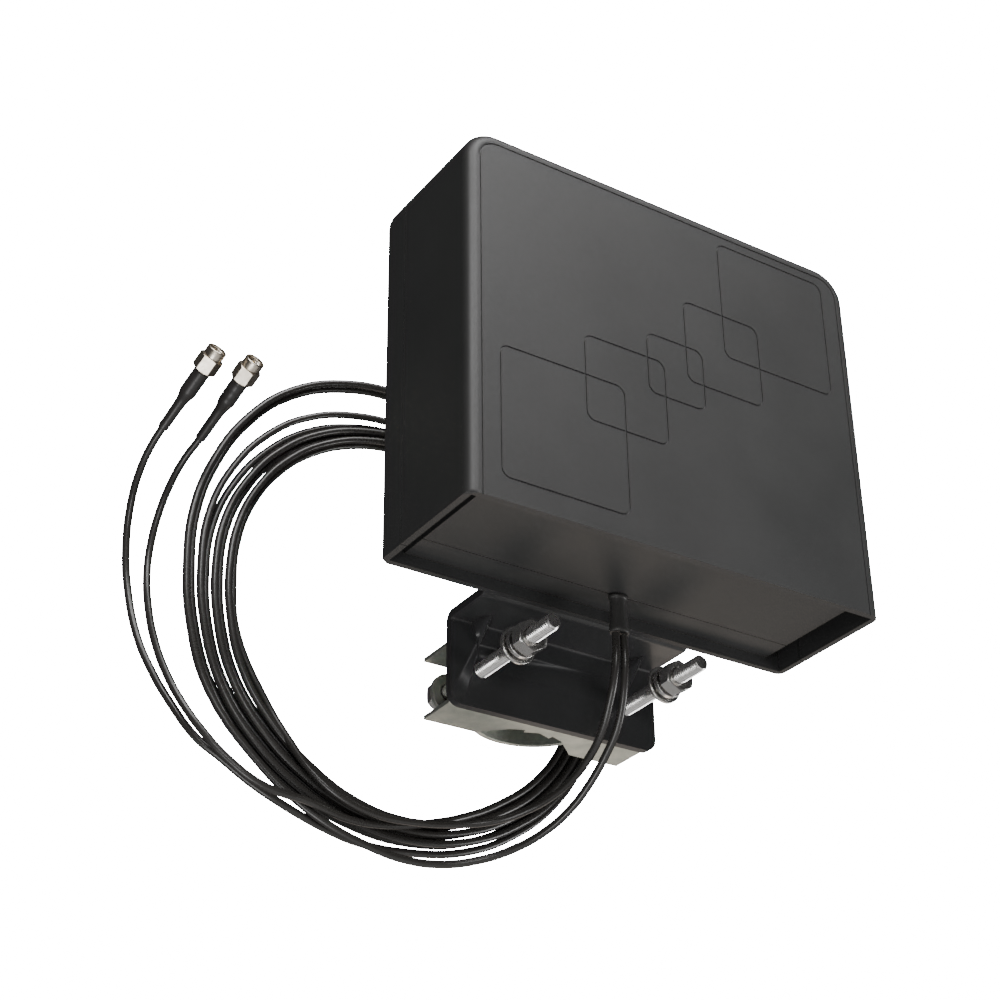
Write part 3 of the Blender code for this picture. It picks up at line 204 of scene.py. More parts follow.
class Finish:
    """One material, built from a Principled shader."""

    def __init__(self, name, colour, roughness, metallic=0.0, coat=0.0):
        self.material = bpy.data.materials.new(name)
        self.material.use_nodes = True
        self.tree = self.material.node_tree
        self.shader = self.tree.nodes["Principled BSDF"]
        self.set("Base Color", (*colour, 1.0))
        self.set("Roughness", roughness)
        self.set("Metallic", metallic)
        self.set("Coat Weight", coat)

    def feed(self, socket, value):
        if isinstance(value, Wire):
            self.tree.links.new(value.socket, socket)
        else:
            socket.default_value = value

    def set(self, name, value):
        self.feed(self.shader.inputs[name], value)

    def node(self, kind, settings=None, sockets=None, output=0):
        node = self.tree.nodes.new(kind)
        for key, value in (settings or {}).items():
            setattr(node, key, value)
        for key, value in (sockets or {}).items():
            self.feed(node.inputs[key], value)
        return Wire(self, node.outputs[output])

    def place(self, stretch=(1.0, 1.0, 1.0)):
        """The surface's own place, in metres, stretched along X, Y and Z."""
        where = self.node("ShaderNodeTexCoord", output="Object")
        return self.node("ShaderNodeMapping", None, {"Vector": where, "Scale": stretch})

    def noise(self, size, detail=3.0, stretch=(1.0, 1.0, 1.0)):
        """Cloudy variation from 0 to 1 whose patches are about size across."""
        return self.node("ShaderNodeTexNoise", None, {
            "Vector": self.place(stretch), "Scale": 1.0 / size, "Detail": detail})

    def steepen(self, wire, low, high):
        """Stretch the values from low to high over 0 to 1."""
        return self.node("ShaderNodeMapRange", {"clamp": True}, {
            "Value": wire, "From Min": low, "From Max": high})

    def blend(self, share, first, second):
        """A colour between two others."""
        return self.node("ShaderNodeMix", {"data_type": 'RGBA'}, {
            0: share, 6: (*first, 1.0), 7: (*second, 1.0)}, output=2)

    def bump(self, height, strength, depth):
        self.set("Normal", self.node("ShaderNodeBump", None, {
            "Height": height, "Strength": strength, "Distance": depth}))


def shade(colour, factor):
    """The colour made lighter or darker."""
    return tuple(min(1.0, part * factor) for part in colour)


print("shader tools ready")

# %% [markdown]
# ## Moulded and rubber finishes
# The housing is moulded in a dark grey plastic with a very fine spark-eroded grain. The
# grain is far too small to model, so it is a bump made of fine noise, and a second, wider
# noise varies the gloss a little, as handling does. The boot, the sleeves and the cables'
# jacket use the same recipe. They are about as dark, but smoother, so they shine more.

# %% Moulded plastic and rubber


def moulded(name, colour, roughness, grain, depth):
    """Plastic or rubber from a mould, with its grain and slightly uneven gloss."""
    finish = Finish(name, colour, roughness)
    cloud = finish.steepen(finish.noise(40.0 * MM, 4.0), 0.3, 0.7)
    finish.set("Base Color", finish.blend(cloud, shade(colour, 0.9), shade(colour, 1.1)))
    fine = finish.noise(grain, 2.0)
    finish.set("Roughness", roughness - 0.04 + 0.06 * cloud + 0.04 * fine)
    finish.bump(fine, 0.35, depth)
    return finish.material


housing_plastic = moulded("housing_plastic", (0.028, 0.028, 0.028), 0.48, 0.35 * MM, 0.03 * MM)
boot_rubber = moulded("boot_rubber", (0.034, 0.033, 0.032), 0.40, 0.25 * MM, 0.02 * MM)
seal_rubber = moulded("seal_rubber", (0.012, 0.012, 0.012), 0.70, 0.30 * MM, 0.02 * MM)
sleeve_rubber = moulded("sleeve_rubber", (0.028, 0.026, 0.025), 0.34, 0.50 * MM, 0.03 * MM)
jacket = moulded("cable_jacket", (0.030, 0.028, 0.026), 0.27, 0.60 * MM, 0.02 * MM)
print("moulded:", housing_plastic.name, boot_rubber.name, sleeve_rubber.name, jacket.name)

# %% [markdown]
# ## Metal finishes
# Paint, zinc, nickel and brass differ in colour and gloss, and each has its own fine
# unevenness. Paint has the slight orange peel of a powder coat. Zinc is dull and cloudy
# with faint greenish patches. Turned and rolled parts have fine scratches.

# %% Metals


def painted_steel(name, colour, roughness):
    finish = Finish(name, colour, roughness, coat=0.15)
    cloud = finish.noise(30.0 * MM, 3.0)
    finish.set("Base Color", finish.blend(cloud, shade(colour, 0.85), shade(colour, 1.15)))
    peel = finish.noise(1.2 * MM, 2.0)
    finish.set("Roughness", roughness - 0.03 + 0.08 * cloud)
    finish.bump(peel, 0.30, 0.05 * MM)
    return finish.material


def plated_metal(name, colour, other, roughness, patch, scratch, painted_groove_shade=False):
    """Metal with cloudy plating and fine scratches; painted shade can darken its grooves."""
    finish = Finish(name, colour, roughness, metallic=1.0)
    cloud = finish.steepen(finish.noise(patch, 5.0), 0.35, 0.68)
    share = cloud
    # Painted shade: where the surface is hollow, as in a thread's grooves, the colour goes to the
    # dark second colour.
    if painted_groove_shade:
        crest = finish.node("ShaderNodeNewGeometry", output="Pointiness")
        share = 1.0 - finish.steepen(crest, 0.40, 0.53)
    finish.set("Base Color", finish.blend(share, colour, other))
    streaks = finish.noise(scratch, 3.0, (0.12, 1.0, 1.0))
    finish.set("Roughness", roughness - 0.06 + 0.08 * cloud + 0.08 * streaks)
    finish.bump(streaks, 0.20, 0.02 * MM)
    return finish.material


bracket_paint = painted_steel("bracket_paint", (0.030, 0.030, 0.031), 0.36)
zinc = plated_metal("zinc_plating", (0.62, 0.64, 0.58), (0.52, 0.55, 0.50), 0.50, 6.0 * MM, 0.5 * MM)
bolt_steel = plated_metal("bolt_steel", (0.82, 0.81, 0.79), (0.70, 0.69, 0.67), 0.22, 4.0 * MM,
                          0.3 * MM)
# Its dark second colour is the painted shade in the thread's grooves.
thread_steel = plated_metal("thread_steel", (0.82, 0.81, 0.79), (0.07, 0.07, 0.07), 0.24, 4.0 * MM,
                            0.3 * MM, painted_groove_shade=True)
nickel = plated_metal("nickel_plating", (0.70, 0.64, 0.55), (0.58, 0.52, 0.43), 0.29, 3.0 * MM,
                      0.25 * MM)
gold = plated_metal("gold_plating", (0.90, 0.65, 0.25), (0.78, 0.52, 0.18), 0.22, 2.0 * MM,
                    0.2 * MM)
brass = plated_metal("brass", (0.75, 0.57, 0.26), (0.62, 0.46, 0.20), 0.30, 3.0 * MM, 0.3 * MM)
aluminium = plated_metal("aluminium_sheet", (0.75, 0.76, 0.77), (0.66, 0.67, 0.69), 0.34,
                         12.0 * MM, 0.4 * MM)
print("metals:", [m.name for m in (bracket_paint, zinc, bolt_steel, nickel, gold, brass)])

# %% [markdown]
# ## Inside parts
# The radiator boards are green laminate. Its glass cloth shows through the lacquer as a
# slight mottle, so a fine noise varies the colour and raises the surface a little. The
# strap is black webbing. Two sets of bands, one straight and one diagonal, are multiplied,
# which leaves rows of small raised threads.

# %% Laminate and webbing


def laminate(name):
    finish = Finish(name, (0.06, 0.20, 0.08), 0.35, coat=0.3)
    weave = finish.noise(0.8 * MM, 2.0)
    finish.set("Base Color", finish.blend(weave, (0.05, 0.17, 0.07), (0.08, 0.24, 0.10)))
    finish.bump(weave, 0.15, 0.02 * MM)
    return finish.material


def woven(name, colour, pitch):
    """Webbing with rows of small threads where two sets of bands cross."""
    finish = Finish(name, colour, 0.85)
    along = finish.node("ShaderNodeTexWave", {"bands_direction": 'Y'}, {
        "Vector": finish.place(), "Scale": 1.0 / pitch})
    across = finish.node("ShaderNodeTexWave", {"bands_direction": 'DIAGONAL'}, {
        "Vector": finish.place(), "Scale": 1.0 / pitch})
    threads = along * across
    finish.set("Base Color", finish.blend(threads, shade(colour, 0.6), shade(colour, 1.6)))
    finish.bump(threads, 0.6, 0.15 * MM)
    return finish.material


board_laminate = laminate("board_laminate")
strap_webbing = woven("strap_webbing", (0.020, 0.020, 0.022), 4.0 * MM)

finishes = {
    "black_plastic": housing_plastic, "black_rubber": boot_rubber,
    "black_painted_steel": bracket_paint, "zinc_plated_steel": zinc,
    "bright_steel": bolt_steel, "cable_jacket": jacket, "aluminium": aluminium,
    "circuit_laminate": board_laminate, "brass": brass, "nickel_plate": nickel,
    "gold_plate": gold, "strap_webbing": strap_webbing}


def dress(node_name, material):
    """Give a part of the frame a finish of this script's own."""
    for holder in nodes[node_name].material_slots:
        holder.material = material


for part in frame["record"]["subparts"]:
    dress(part["node"], finishes[part["material_slot"]])
dress("cover_seal", seal_rubber)

# %% [markdown]
# ## The two leads
# Each lead is one long coaxial cable: out of the boot, down and back to the coil, four
# times round, and up the left side to its plug. The easiest way to make such a line look
# right is one open Bezier spline with automatic handles through listed points, with
# the turns of the coil worked out by a loop. The rear lead is wound from the inside out,
# and the front lead from the outside in, so neither has to pass through the other.

# %% Coil's turns
LEAD_DIAMETER = 2.9 * MM
COIL_CENTRE = Vector((-36.3, 22.0, 42.0)) * MM
LAYER_OFFSET = 1.75 * MM            # of each lead's turns from the coil's middle
POINTS_PER_TURN = 24

# Inner and outer radius of the turns' centres in millimetres, by the angle up from +X.
BUNDLE = [(0.0, 78.0, 91.0), (45.0, 72.0, 90.0), (90.0, 70.0, 84.0), (135.0, 69.8, 87.0),
          (180.0, 69.8, 90.5), (225.0, 74.5, 94.5), (270.0, 80.0, 93.5), (315.0, 80.0, 92.5)]


def bundle_edge(angle, column):
    """The bundle's inner (1) or outer (2) radius at an angle, eased between the listed ones."""
    step = 360.0 / len(BUNDLE)
    turn = (angle % 360.0) / step
    low = int(turn)
    share = (1.0 - math.cos(math.pi * (turn - low))) / 2
    return BUNDLE[low][column] * (1 - share) + BUNDLE[(low + 1) % len(BUNDLE)][column] * share


# The last turns lift off the others over the top of the coil: by how much, round which
# angle, from which share of the winding and over which further share it grows.
STRAY_LIFT = 13.0
STRAY_ANGLE = 100.0
STRAY_START = 0.62
STRAY_GROWTH = 0.14
WIDEST_RADIUS = 100.0


def stray(angle, share):
    """How far a turn lifts off the others, in millimetres."""
    near = max(0.0, math.cos(math.radians(angle - STRAY_ANGLE)))
    return STRAY_LIFT * near ** 2 * min(1.0, max(0.0, share - STRAY_START) / STRAY_GROWTH)


def coil_point(angle, share, y):
    """share is 0 for the innermost turn and 1 for the outermost."""
    inner = bundle_edge(angle, 1)
    radius = inner + (bundle_edge(angle, 2) - inner) * share + stray(angle, share)
    radius = min(radius, WIDEST_RADIUS)
    turn = math.radians(angle)
    return COIL_CENTRE + Vector((radius * math.cos(turn) * MM, y - COIL_CENTRE.y,
                                 radius * math.sin(turn) * MM))


def coil_turns(start, end, turns, first_share, last_share, y):
    """Points clockwise from the angle start to the angle end, after whole extra turns."""
    sweep = start - end + 360.0 * turns
    count = round(sweep / 360.0 * POINTS_PER_TURN)
    points = []
    for i in range(count + 1):
        part = i / count
        share = first_share + (last_share - first_share) * part
        points.append(coil_point(start - sweep * part, share, y))
    return points


rear_turns = coil_turns(215.0, 272.0, 4, 0.0, 1.0, COIL_CENTRE.y + LAYER_OFFSET)
front_turns = coil_turns(228.0, 300.0, 4, 1.0, 0.0, COIL_CENTRE.y - LAYER_OFFSET)
print(len(rear_turns), "and", len(front_turns), "points in the turns")

# %% Routes of the uncoiled stretches, in millimetres
LEAD_A = [
    (-0.15, -61.7, 7.5), (0.0, -61.3, 0.0), (1.0, -58.2, -8.0), (2.4, -53.2, -14.6),
    (4.6, -44.4, -22.6), (5.8, -36.0, -27.4), (6.2, -24.4, -32.2), (4.9, -14.6, -35.2),
    (0.7, -3.2, -38.0), (-6.9, 6.0, -40.4), (-21.4, 12.6, -42.4), (-37.0, 14.0, -44.0),
    (-50.8, 14.2, -44.0), (-64.0, 14.6, -40.5), (-76.0, 16.5, -31.8), (-84.6, 19.4, -20.0),
    (-91.5, 22.4, -7.6)]
TAIL_A = [
    (-53.6, 22.9, -51.8), (-66.8, 22.0, -49.6), (-76.8, 20.2, -47.6), (-86.9, 18.4, -45.0),
    (-97.3, 19.4, -39.8), (-109.2, 20.4, -32.3), (-116.9, 22.0, -26.9), (-126.2, 25.9, -13.9),
    (-132.2, 31.7, 0.3), (-136.0, 36.3, 13.4), (-139.4, 39.8, 32.0), (-141.4, 39.6, 45.6),
    (-142.9, 35.7, 63.0), (-143.1, 29.2, 74.6), (-142.3, 21.8, 82.2)]
LEAD_B = [
    (3.15, -61.7, 7.5), (3.8, -61.2, 0.5), (5.3, -58.4, -7.5), (7.1, -54.4, -14.0),
    (8.9, -47.8, -21.6), (9.6, -40.0, -27.9), (9.4, -30.4, -35.0), (7.4, -20.0, -42.2),
    (3.0, -10.6, -48.0), (-4.5, -1.6, -53.0), (-14.4, 5.8, -56.6), (-27.6, 11.8, -58.6),
    (-40.6, 14.6, -58.0), (-52.0, 15.4, -55.8), (-66.0, 16.8, -51.0), (-80.0, 18.6, -43.0),
    (-92.6, 19.9, -33.2)]
TAIL_B = [
    (-11.2, 19.0, -35.2), (-27.5, 17.3, -41.5), (-44.0, 17.1, -45.7), (-60.9, 16.8, -46.7),
    (-78.3, 14.6, -44.1), (-87.0, 13.6, -43.8), (-96.4, 13.7, -42.0),
    (-109.2, 15.3, -34.1), (-116.6, 16.9, -26.8), (-123.4, 20.1, -16.8), (-128.4, 25.3, -4.1),
    (-131.3, 31.8, 11.3), (-132.2, 37.2, 25.8), (-132.4, 40.5, 39.9), (-132.0, 40.4, 52.6),
    (-131.1, 37.0, 65.0), (-129.9, 31.0, 74.8), (-128.6, 24.4, 81.2)]
PLUG_A = {"place": Vector((-136.9, -6.0, 100.4)) * MM, "axis": Vector((0.162, -0.836, 0.524)),
          "sleeve": 26.6 * MM}
PLUG_B = {"place": Vector((-123.3, -9.0, 99.1)) * MM, "axis": Vector((0.122, -0.882, 0.455)),
          "sleeve": 28.0 * MM}


def to_metres(points):
    return [Vector(p) * MM for p in points]


SLEEVE_CLEARANCE = 0.2 * MM


def lead_end(plug):
    """Where the cable meets the end of its plug's sleeve."""
    return plug["place"] - plug["axis"].normalized() * (plug["sleeve"] + SLEEVE_CLEARANCE)


def cable(name, points):
    """A round cable along a smooth line through the points."""
    curve = bpy.data.curves.new(name, 'CURVE')
    curve.dimensions = '3D'
    curve.bevel_depth = LEAD_DIAMETER / 2
    curve.bevel_resolution = 4
    curve.resolution_u = 5
    curve.use_fill_caps = True
    spline = curve.splines.new('BEZIER')
    spline.bezier_points.add(len(points) - 1)
    for point, place in zip(spline.bezier_points, points):
        point.co = place
        point.handle_left_type = 'AUTO'
        point.handle_right_type = 'AUTO'
    curve.materials.append(jacket)
    obj = bpy.data.objects.new(name, curve)
    bpy.context.scene.collection.objects.link(obj)
    return obj


def run_length(obj):
    """The length of the line that a curve follows."""
    return obj.data.splines[0].calc_length()


path_a = to_metres(LEAD_A) + rear_turns[1:] + to_metres(TAIL_A) + [lead_end(PLUG_A)]
path_b = to_metres(LEAD_B) + front_turns[1:] + to_metres(TAIL_B) + [lead_end(PLUG_B)]
cord_a = cable("lead_and_coil_a", path_a)
cord_b = cable("lead_and_coil_b", path_b)
print("lengths:", round(run_length(cord_a), 3), round(run_length(cord_b), 3))

# %% [markdown]
# ## Tools for visible shapes
# The frame's own parts are made of few flat faces, which is right for physics but shows in a
# picture. Each visible part gets a finer piece on the same sizes. Sheet and moulded parts
# start as an outline that is filled and given a thickness, and turned parts as a profile
# carried round an axis. Rounded edges come from a Bevel modifier, which only works on
# the sharp ones, and all of it ends as plain mesh so that nothing is left to recompute.

# %% Shape tools


def rounded(corners, radii, steps=10):
    """The outline through corners with each one rounded by its radius."""
    outline = []
    for i, corner in enumerate(corners):
        here = Vector(corner)
        if radii[i] <= 0.0:
            outline.append(here)
            continue
        before = (Vector(corners[i - 1]) - here).normalized()
        after = (Vector(corners[(i + 1) % len(corners)]) - here).normalized()
        half = before.angle(after) / 2
        centre = here + (before + after).normalized() * (radii[i] / math.sin(half))
        start = here + before * (radii[i] / math.tan(half)) - centre
        end = here + after * (radii[i] / math.tan(half)) - centre
        sweep = start.angle_signed(end)
        for k in range(steps + 1):
            turn = -sweep * k / steps
            outline.append(centre + Vector((start.x * math.cos(turn) - start.y * math.sin(turn),
                                            start.x * math.sin(turn) + start.y * math.cos(turn))))
    return outline


def polar(radius, angle):
    return radius * math.cos(angle), radius * math.sin(angle)


def in_mm(profile):
    """A profile that is written in millimetres."""
    return [(radius * MM, height * MM) for radius, height in profile]


def circle(x, y, radius, steps=40):
    points = (polar(radius, math.tau * k / steps) for k in range(steps))
    return [(x + across, y + up) for across, up in points]


def rectangle(left, right, low, high):
    return [(left, low), (right, low), (right, high), (left, high)]


QUARTER = math.pi / 2
STAND = {'X': (QUARTER, 0.0, QUARTER), 'Y': (QUARTER, 0.0, 0.0), 'Z': (0.0, 0.0, 0.0)}


def turned(x, y, z):
    """A rotation by these angles round X, Y and Z."""
    return Euler((x, y, z)).to_matrix().to_4x4()


def final_mesh(obj):
    """The mesh that a curve, or a piece with modifiers, ends up as."""
    bpy.context.view_layer.update()
    return bpy.data.meshes.new_from_object(
        obj.evaluated_get(bpy.context.evaluated_depsgraph_get()))


def mesh_of(work, name):
    """The drawn faces as a mesh, with all of them facing outwards."""
    bmesh.ops.recalc_face_normals(work, faces=work.faces)
    mesh = bpy.data.meshes.new(name)
    work.to_mesh(mesh)
    work.free()
    return mesh


def sheet_mesh(name, outlines, axis, low, high):
    """Outlines across an axis, filled and extruded; inner outlines are holes."""
    curve = bpy.data.curves.new(name, 'CURVE')
    curve.dimensions = '2D'
    curve.fill_mode = 'BOTH'
    curve.extrude = (high - low) / 2
    for outline in outlines:
        spline = curve.splines.new('POLY')
        spline.points.add(len(outline) - 1)
        for point, place in zip(spline.points, outline):
            point.co = (place[0], place[1], 0.0, 1.0)
        spline.use_cyclic_u = True
    holder = bpy.data.objects.new(name, curve)
    bpy.context.scene.collection.objects.link(holder)
    mesh = final_mesh(holder)
    bpy.data.objects.remove(holder)
    shift = Vector((0.0, 0.0, 0.0))
    shift['XYZ'.index(axis)] = (low + high) / 2
    mesh.transform(Matrix.Translation(shift) @ turned(*STAND[axis]))
    work = bmesh.new()
    work.from_mesh(mesh)
    bmesh.ops.remove_doubles(work, verts=work.verts, dist=0.001 * MM)
    bmesh.ops.recalc_face_normals(work, faces=work.faces)
    work.to_mesh(mesh)
    work.free()
    return mesh


def new_piece(name, mesh, material=None):
    obj = bpy.data.objects.new(name, mesh)
    if material is not None:
        mesh.materials.append(material)
    bpy.context.scene.collection.objects.link(obj)
    return obj


def sheet_piece(name, outlines, axis, low, high):
    return new_piece(name, sheet_mesh(name, outlines, axis, low, high))


def cut(obj, tool, operation='DIFFERENCE'):
    """Cut one piece with another, and take the tool away."""
    modifier = obj.modifiers.new("cut", 'BOOLEAN')
    modifier.operation = operation
    modifier.object = tool
    modifier.solver = 'EXACT'
    settle(obj)
    bpy.data.objects.remove(tool)


def settle(obj):
    """Turn what the modifiers make into the piece's own mesh."""
    mesh = final_mesh(obj)
    obj.modifiers.clear()
    obj.data = mesh


def soften(obj, width, segments=3, angle=30.0, crisp=50.0):
    """Round the sharp edges a little and shade the rest smooth, up to the crisp angle."""
    if width > 0.0:
        bevel = obj.modifiers.new("edges", 'BEVEL')
        bevel.width = width
        bevel.segments = segments
        bevel.limit_method = 'ANGLE'
        bevel.angle_limit = math.radians(angle)
        bevel.use_clamp_overlap = True
        bevel.harden_normals = False
        settle(obj)
    obj.data.shade_smooth()
    obj.data.set_sharp_from_angle(angle=math.radians(crisp))
    even = obj.modifiers.new("even_shading", 'WEIGHTED_NORMAL')
    even.keep_sharp = True
    settle(obj)
    return obj


def turned_mesh(name, profile, steps=48, closed=False):
    """A profile of (radius, height) carried round Z; on the axis it closes to a point."""
    work = bmesh.new()
    rings = []
    for radius, height in profile:
        if radius < 1e-9:
            rings.append([work.verts.new((0.0, 0.0, height))])
            continue
        rings.append([work.verts.new((*polar(radius, math.tau * k / steps), height))
                      for k in range(steps)])
    pairs = list(zip(rings, rings[1:]))
    if closed:
        pairs.append((rings[-1], rings[0]))
    for upper, lower in pairs:
        for k in range(steps):
            corners = [upper[k % len(upper)], upper[(k + 1) % len(upper)],
                       lower[(k + 1) % len(lower)], lower[k % len(lower)]]
            work.faces.new(list(dict.fromkeys(corners)))
    return mesh_of(work, name)


def placed_piece(name, mesh, material, place, crisp=50.0):
    """A piece that was made on its own axis and is carried to its place."""
    mesh.transform(place)
    return soften(new_piece(name, mesh, material), 0.0, crisp=crisp)


def turned_piece(name, profile, material, place, steps=48, closed=False):
    return placed_piece(name, turned_mesh(name, profile, steps, closed), material, place)


def along_front(x, y, z):
    """Turns what was made along +Z to point at -Y, from a given place."""
    return Matrix.Translation((x, y, z)) @ turned(QUARTER, 0.0, 0.0)


def declare(obj, body, slot_name, *stands_for):
    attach(obj, body)
    if stands_for:
        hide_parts(*stands_for)
    print(obj.name, len(obj.data.vertices), "points")


def corners_of(node_name):
    low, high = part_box(node_name)
    return Vector(low), Vector(high)


# %% [markdown]
# ## Housing
# The housing is two moulded covers that meet in a thin seam near the back. A maker would
# model it from its outline: a rectangle with round upper corners, extruded to the depth of
# each cover. The outer edge of the face is rounded by bevelling just that edge, and the
# inside, with the floor a little above the rim, is cut away in one Boolean. The shallow line
# round the face and the chain of squares are cut the same way, with narrow closed strips.

# %% Housing's sizes, from the frame
front_low, front_high = corners_of("front_cover")
rear_low, rear_high = corners_of("rear_cover")
WALL = 2.5 * MM
HALF_WIDTH = front_high.x
RIM = front_low.z
TOP = front_high.z
MIDDLE = (RIM + TOP) / 2
CORNER_RADIUS = 13.0 * MM
FLOOR_RISE = 4.5 * MM
SLOT_WIDTH = 6.0 * MM
GROOVE_WIDTH = 0.55 * MM
GROOVE_DEPTH = 0.35 * MM
FACE_EDGE = 4.0 * MM                # rounding of the front cover's outer edge
BACK_EDGE = 3.0 * MM                # and of the rear cover's
SEAM_EDGE = 0.18 * MM               # and of every other edge of the two covers
LINE_INSET = 5.2 * MM               # of the line round the face
SQUARE_CORNER = 3.5 * MM
BOOT_HOLE = (3.0 * MM, 2.325 * MM)  # half its width and half its depth
SINK_RADIUS = 2.9 * MM
SINK_DEPTH = 2.2 * MM

# Each square's place from the middle of the face, across and up, and its size, in mm.
SQUARES = [(-49.0, -40.5, 51.0), (-22.5, -15.5, 34.5), (0.0, 0.0, 25.0), (22.5, 15.5, 34.5),
           (49.0, 40.5, 51.0)]


def cover_outline(inset=0.0, low=RIM):
    corner = CORNER_RADIUS - inset
    return rounded(rectangle(-HALF_WIDTH + inset, HALF_WIDTH - inset, low, TOP - inset),
                   [0.0, 0.0, corner, corner], steps=16)


def cover_shell(name, low, high, face_y, edge_radius):
    """One cover with a rounded outer edge, except along the rim."""
    obj = sheet_piece(name, [cover_outline()], 'Y', low, high)
    work = bmesh.new()
    work.from_mesh(obj.data)
    near = 0.01 * MM
    edges = [edge for edge in work.edges
             if all(abs(v.co.y - face_y) < near for v in edge.verts)
             and not all(v.co.z < RIM + near for v in edge.verts)
             and edge.calc_face_angle(0.0) > math.radians(45.0)]
    bmesh.ops.bevel(work, geom=edges, offset=edge_radius, segments=10, profile=0.5,
                    affect='EDGES', clamp_overlap=False)
    work.to_mesh(obj.data)
    work.free()
    return obj


def open_inside(obj, low, high):
    inner = HALF_WIDTH - WALL
    floor_strip = rectangle(-inner + SLOT_WIDTH, inner - SLOT_WIDTH, RIM + FLOOR_RISE,
                            RIM + FLOOR_RISE + WALL)
    cut(obj, sheet_piece("inside", [cover_outline(WALL, RIM - MM), floor_strip], 'Y', low, high))


def strip_between(outer, inner):
    """One closed outline that goes along the outer line and back along the inner one."""
    return outer[1:] + outer[:1] + inner[:1] + inner[:0:-1]


def square_outlines(x, z, size):
    rings = []
    for grow in (GROOVE_WIDTH / 2, -GROOVE_WIDTH / 2):
        half = size / 2 + grow
        rings.append(rounded(rectangle(x - half, x + half, z - half, z + half),
                             [SQUARE_CORNER + grow] * 4, steps=6))
    return rings


SEAM = (front_high.y + rear_low.y) / 2
BOOT_X = 1.5 * MM


def cut_boot_hole(obj):
    """The oval hole for the boot, which lies half in each cover."""
    oval = [(BOOT_X + BOOT_HOLE[0] * math.cos(math.tau * k / 32),
             SEAM + BOOT_HOLE[1] * math.sin(math.tau * k / 32)) for k in range(32)]
    cut(obj, sheet_piece("boot_hole", [oval], 'Z', RIM + FLOOR_RISE - MM,
                         RIM + FLOOR_RISE + WALL + MM))


# %% Front cover
front = cover_shell("front_housing", front_low.y, front_high.y, front_low.y, FACE_EDGE)
open_inside(front, front_low.y + WALL, front_high.y + MM)
groove_low = front_low.y - MM
groove_high = front_low.y + GROOVE_DEPTH
face_line = strip_between(cover_outline(LINE_INSET - GROOVE_WIDTH / 2, RIM - MM),
                          cover_outline(LINE_INSET + GROOVE_WIDTH / 2, RIM - 2 * MM))
cut(front, sheet_piece("line", [face_line], 'Y', groove_low, groove_high))
for x, z, size in SQUARES:
    cut(front, sheet_piece("square", square_outlines(x * MM, MIDDLE + z * MM, size * MM), 'Y',
                           groove_low, groove_high))
cut_boot_hole(front)
soften(front, SEAM_EDGE, 2, 50.0)
front.data.materials.append(housing_plastic)
declare(front, "antenna", "black_plastic", "front_cover")

# %% Rear cover
rear = cover_shell("rear_housing", rear_low.y, rear_high.y, rear_high.y, BACK_EDGE)
open_inside(rear, rear_low.y - MM, rear_high.y - WALL)
cut_boot_hole(rear)
for number in range(1, 5):
    low, high = corners_of(f"cover_screw_{number}")
    cut(rear, sheet_piece("sink", [circle((low.x + high.x) / 2, (low.z + high.z) / 2, SINK_RADIUS)],
                          'Y', rear_high.y - SINK_DEPTH, rear_high.y + MM))
soften(rear, SEAM_EDGE, 2, 50.0)
rear.data.materials.append(housing_plastic)
declare(rear, "antenna", "black_plastic", "rear_cover")

# %% [markdown]
# ## Cable boot
# The two leads leave the housing through one soft rubber boot: a ring against the floor,
# then a sleeve that widens slowly downward. It is a turned shape squeezed to an oval, with
# a small rounded lip where the leads come out.

# %% Boot
boot_low, boot_high = corners_of("cable_boot")
floor_level = RIM + FLOOR_RISE
boot_profile = [(radius * MM, floor_level + height * MM) for radius, height in (
    (0.0, 1.0), (2.7, 1.0), (2.7, -0.3), (3.5, -0.3), (3.7, -0.5), (3.7, -1.2),
    (3.45, -1.6), (3.1, -2.0), (3.12, -4.0), (3.35, -8.0))]
boot_profile += [(radius * MM, boot_low.z + height * MM) for radius, height in (
    (3.75, 2.2), (3.95, 1.1), (3.9, 0.4), (3.6, 0.0), (3.1, 0.0), (2.9, 0.5), (0.0, 0.6))]
squeeze = Matrix.Translation((BOOT_X, SEAM, 0.0)) @ Matrix.Diagonal((1.0, 0.75, 1.0, 1.0))
boot = turned_piece("lead_boot", boot_profile, boot_rubber, squeeze)
declare(boot, "antenna", "black_rubber", "cable_boot")

# %% [markdown]
# ## Bracket
# The bracket is one strip of 3 mm steel, bent twice: up behind the housing, along under it,
# and down to the clamp. Its side view is drawn once with rounded bends and extruded across
# its width, and a second outline, seen from the front, trims the corners round. Two pressed
# darts stiffen the lower bend. They are joined on before the edges are softened, so that
# the paint seems to flow over them.

# %% Bracket
STEEL = 3.0 * MM
bracket_low, bracket_high = corners_of("mast_bracket")
plate_front = -24.0 * MM
plate_rear = plate_front + STEEL
flange_front = bracket_low.y
flange_rear = flange_front + STEEL
shelf_low = RIM + 0.5 * MM
BOLT_SPREAD = 31.4 * MM
BOLT_LEVEL = 1.0 * MM
BOLT_HOLE = 3.3 * MM
INNER_BEND = 1.0 * MM
PLATE_CORNER = 5.0 * MM
DART_SPREAD = 33.0 * MM
DART_LEG = 9.5 * MM                 # how far it reaches along the shelf and down the plate
DART_SINK = 1.2 * MM                # how deep it sits in the steel
DART_HALF_WIDTH = 3.2               # in mm


def bolt_hole(obj, side, low, high):
    """The round hole for one clamp bolt, between two places along Y."""
    hole = circle(side * BOLT_SPREAD, BOLT_LEVEL, BOLT_HOLE)
    cut(obj, sheet_piece("hole", [hole], 'Y', low, high))


def bend_profile(inside):
    outside = inside + STEEL
    corners = [(flange_front, bracket_high.z), (flange_front, shelf_low),
               (plate_front, shelf_low), (plate_front, bracket_low.z),
               (plate_rear, bracket_low.z), (plate_rear, shelf_low + STEEL),
               (flange_rear, shelf_low + STEEL), (flange_rear, bracket_high.z)]
    return rounded(corners, [0.0, outside, inside, 0.0, 0.0, outside, inside, 0.0])


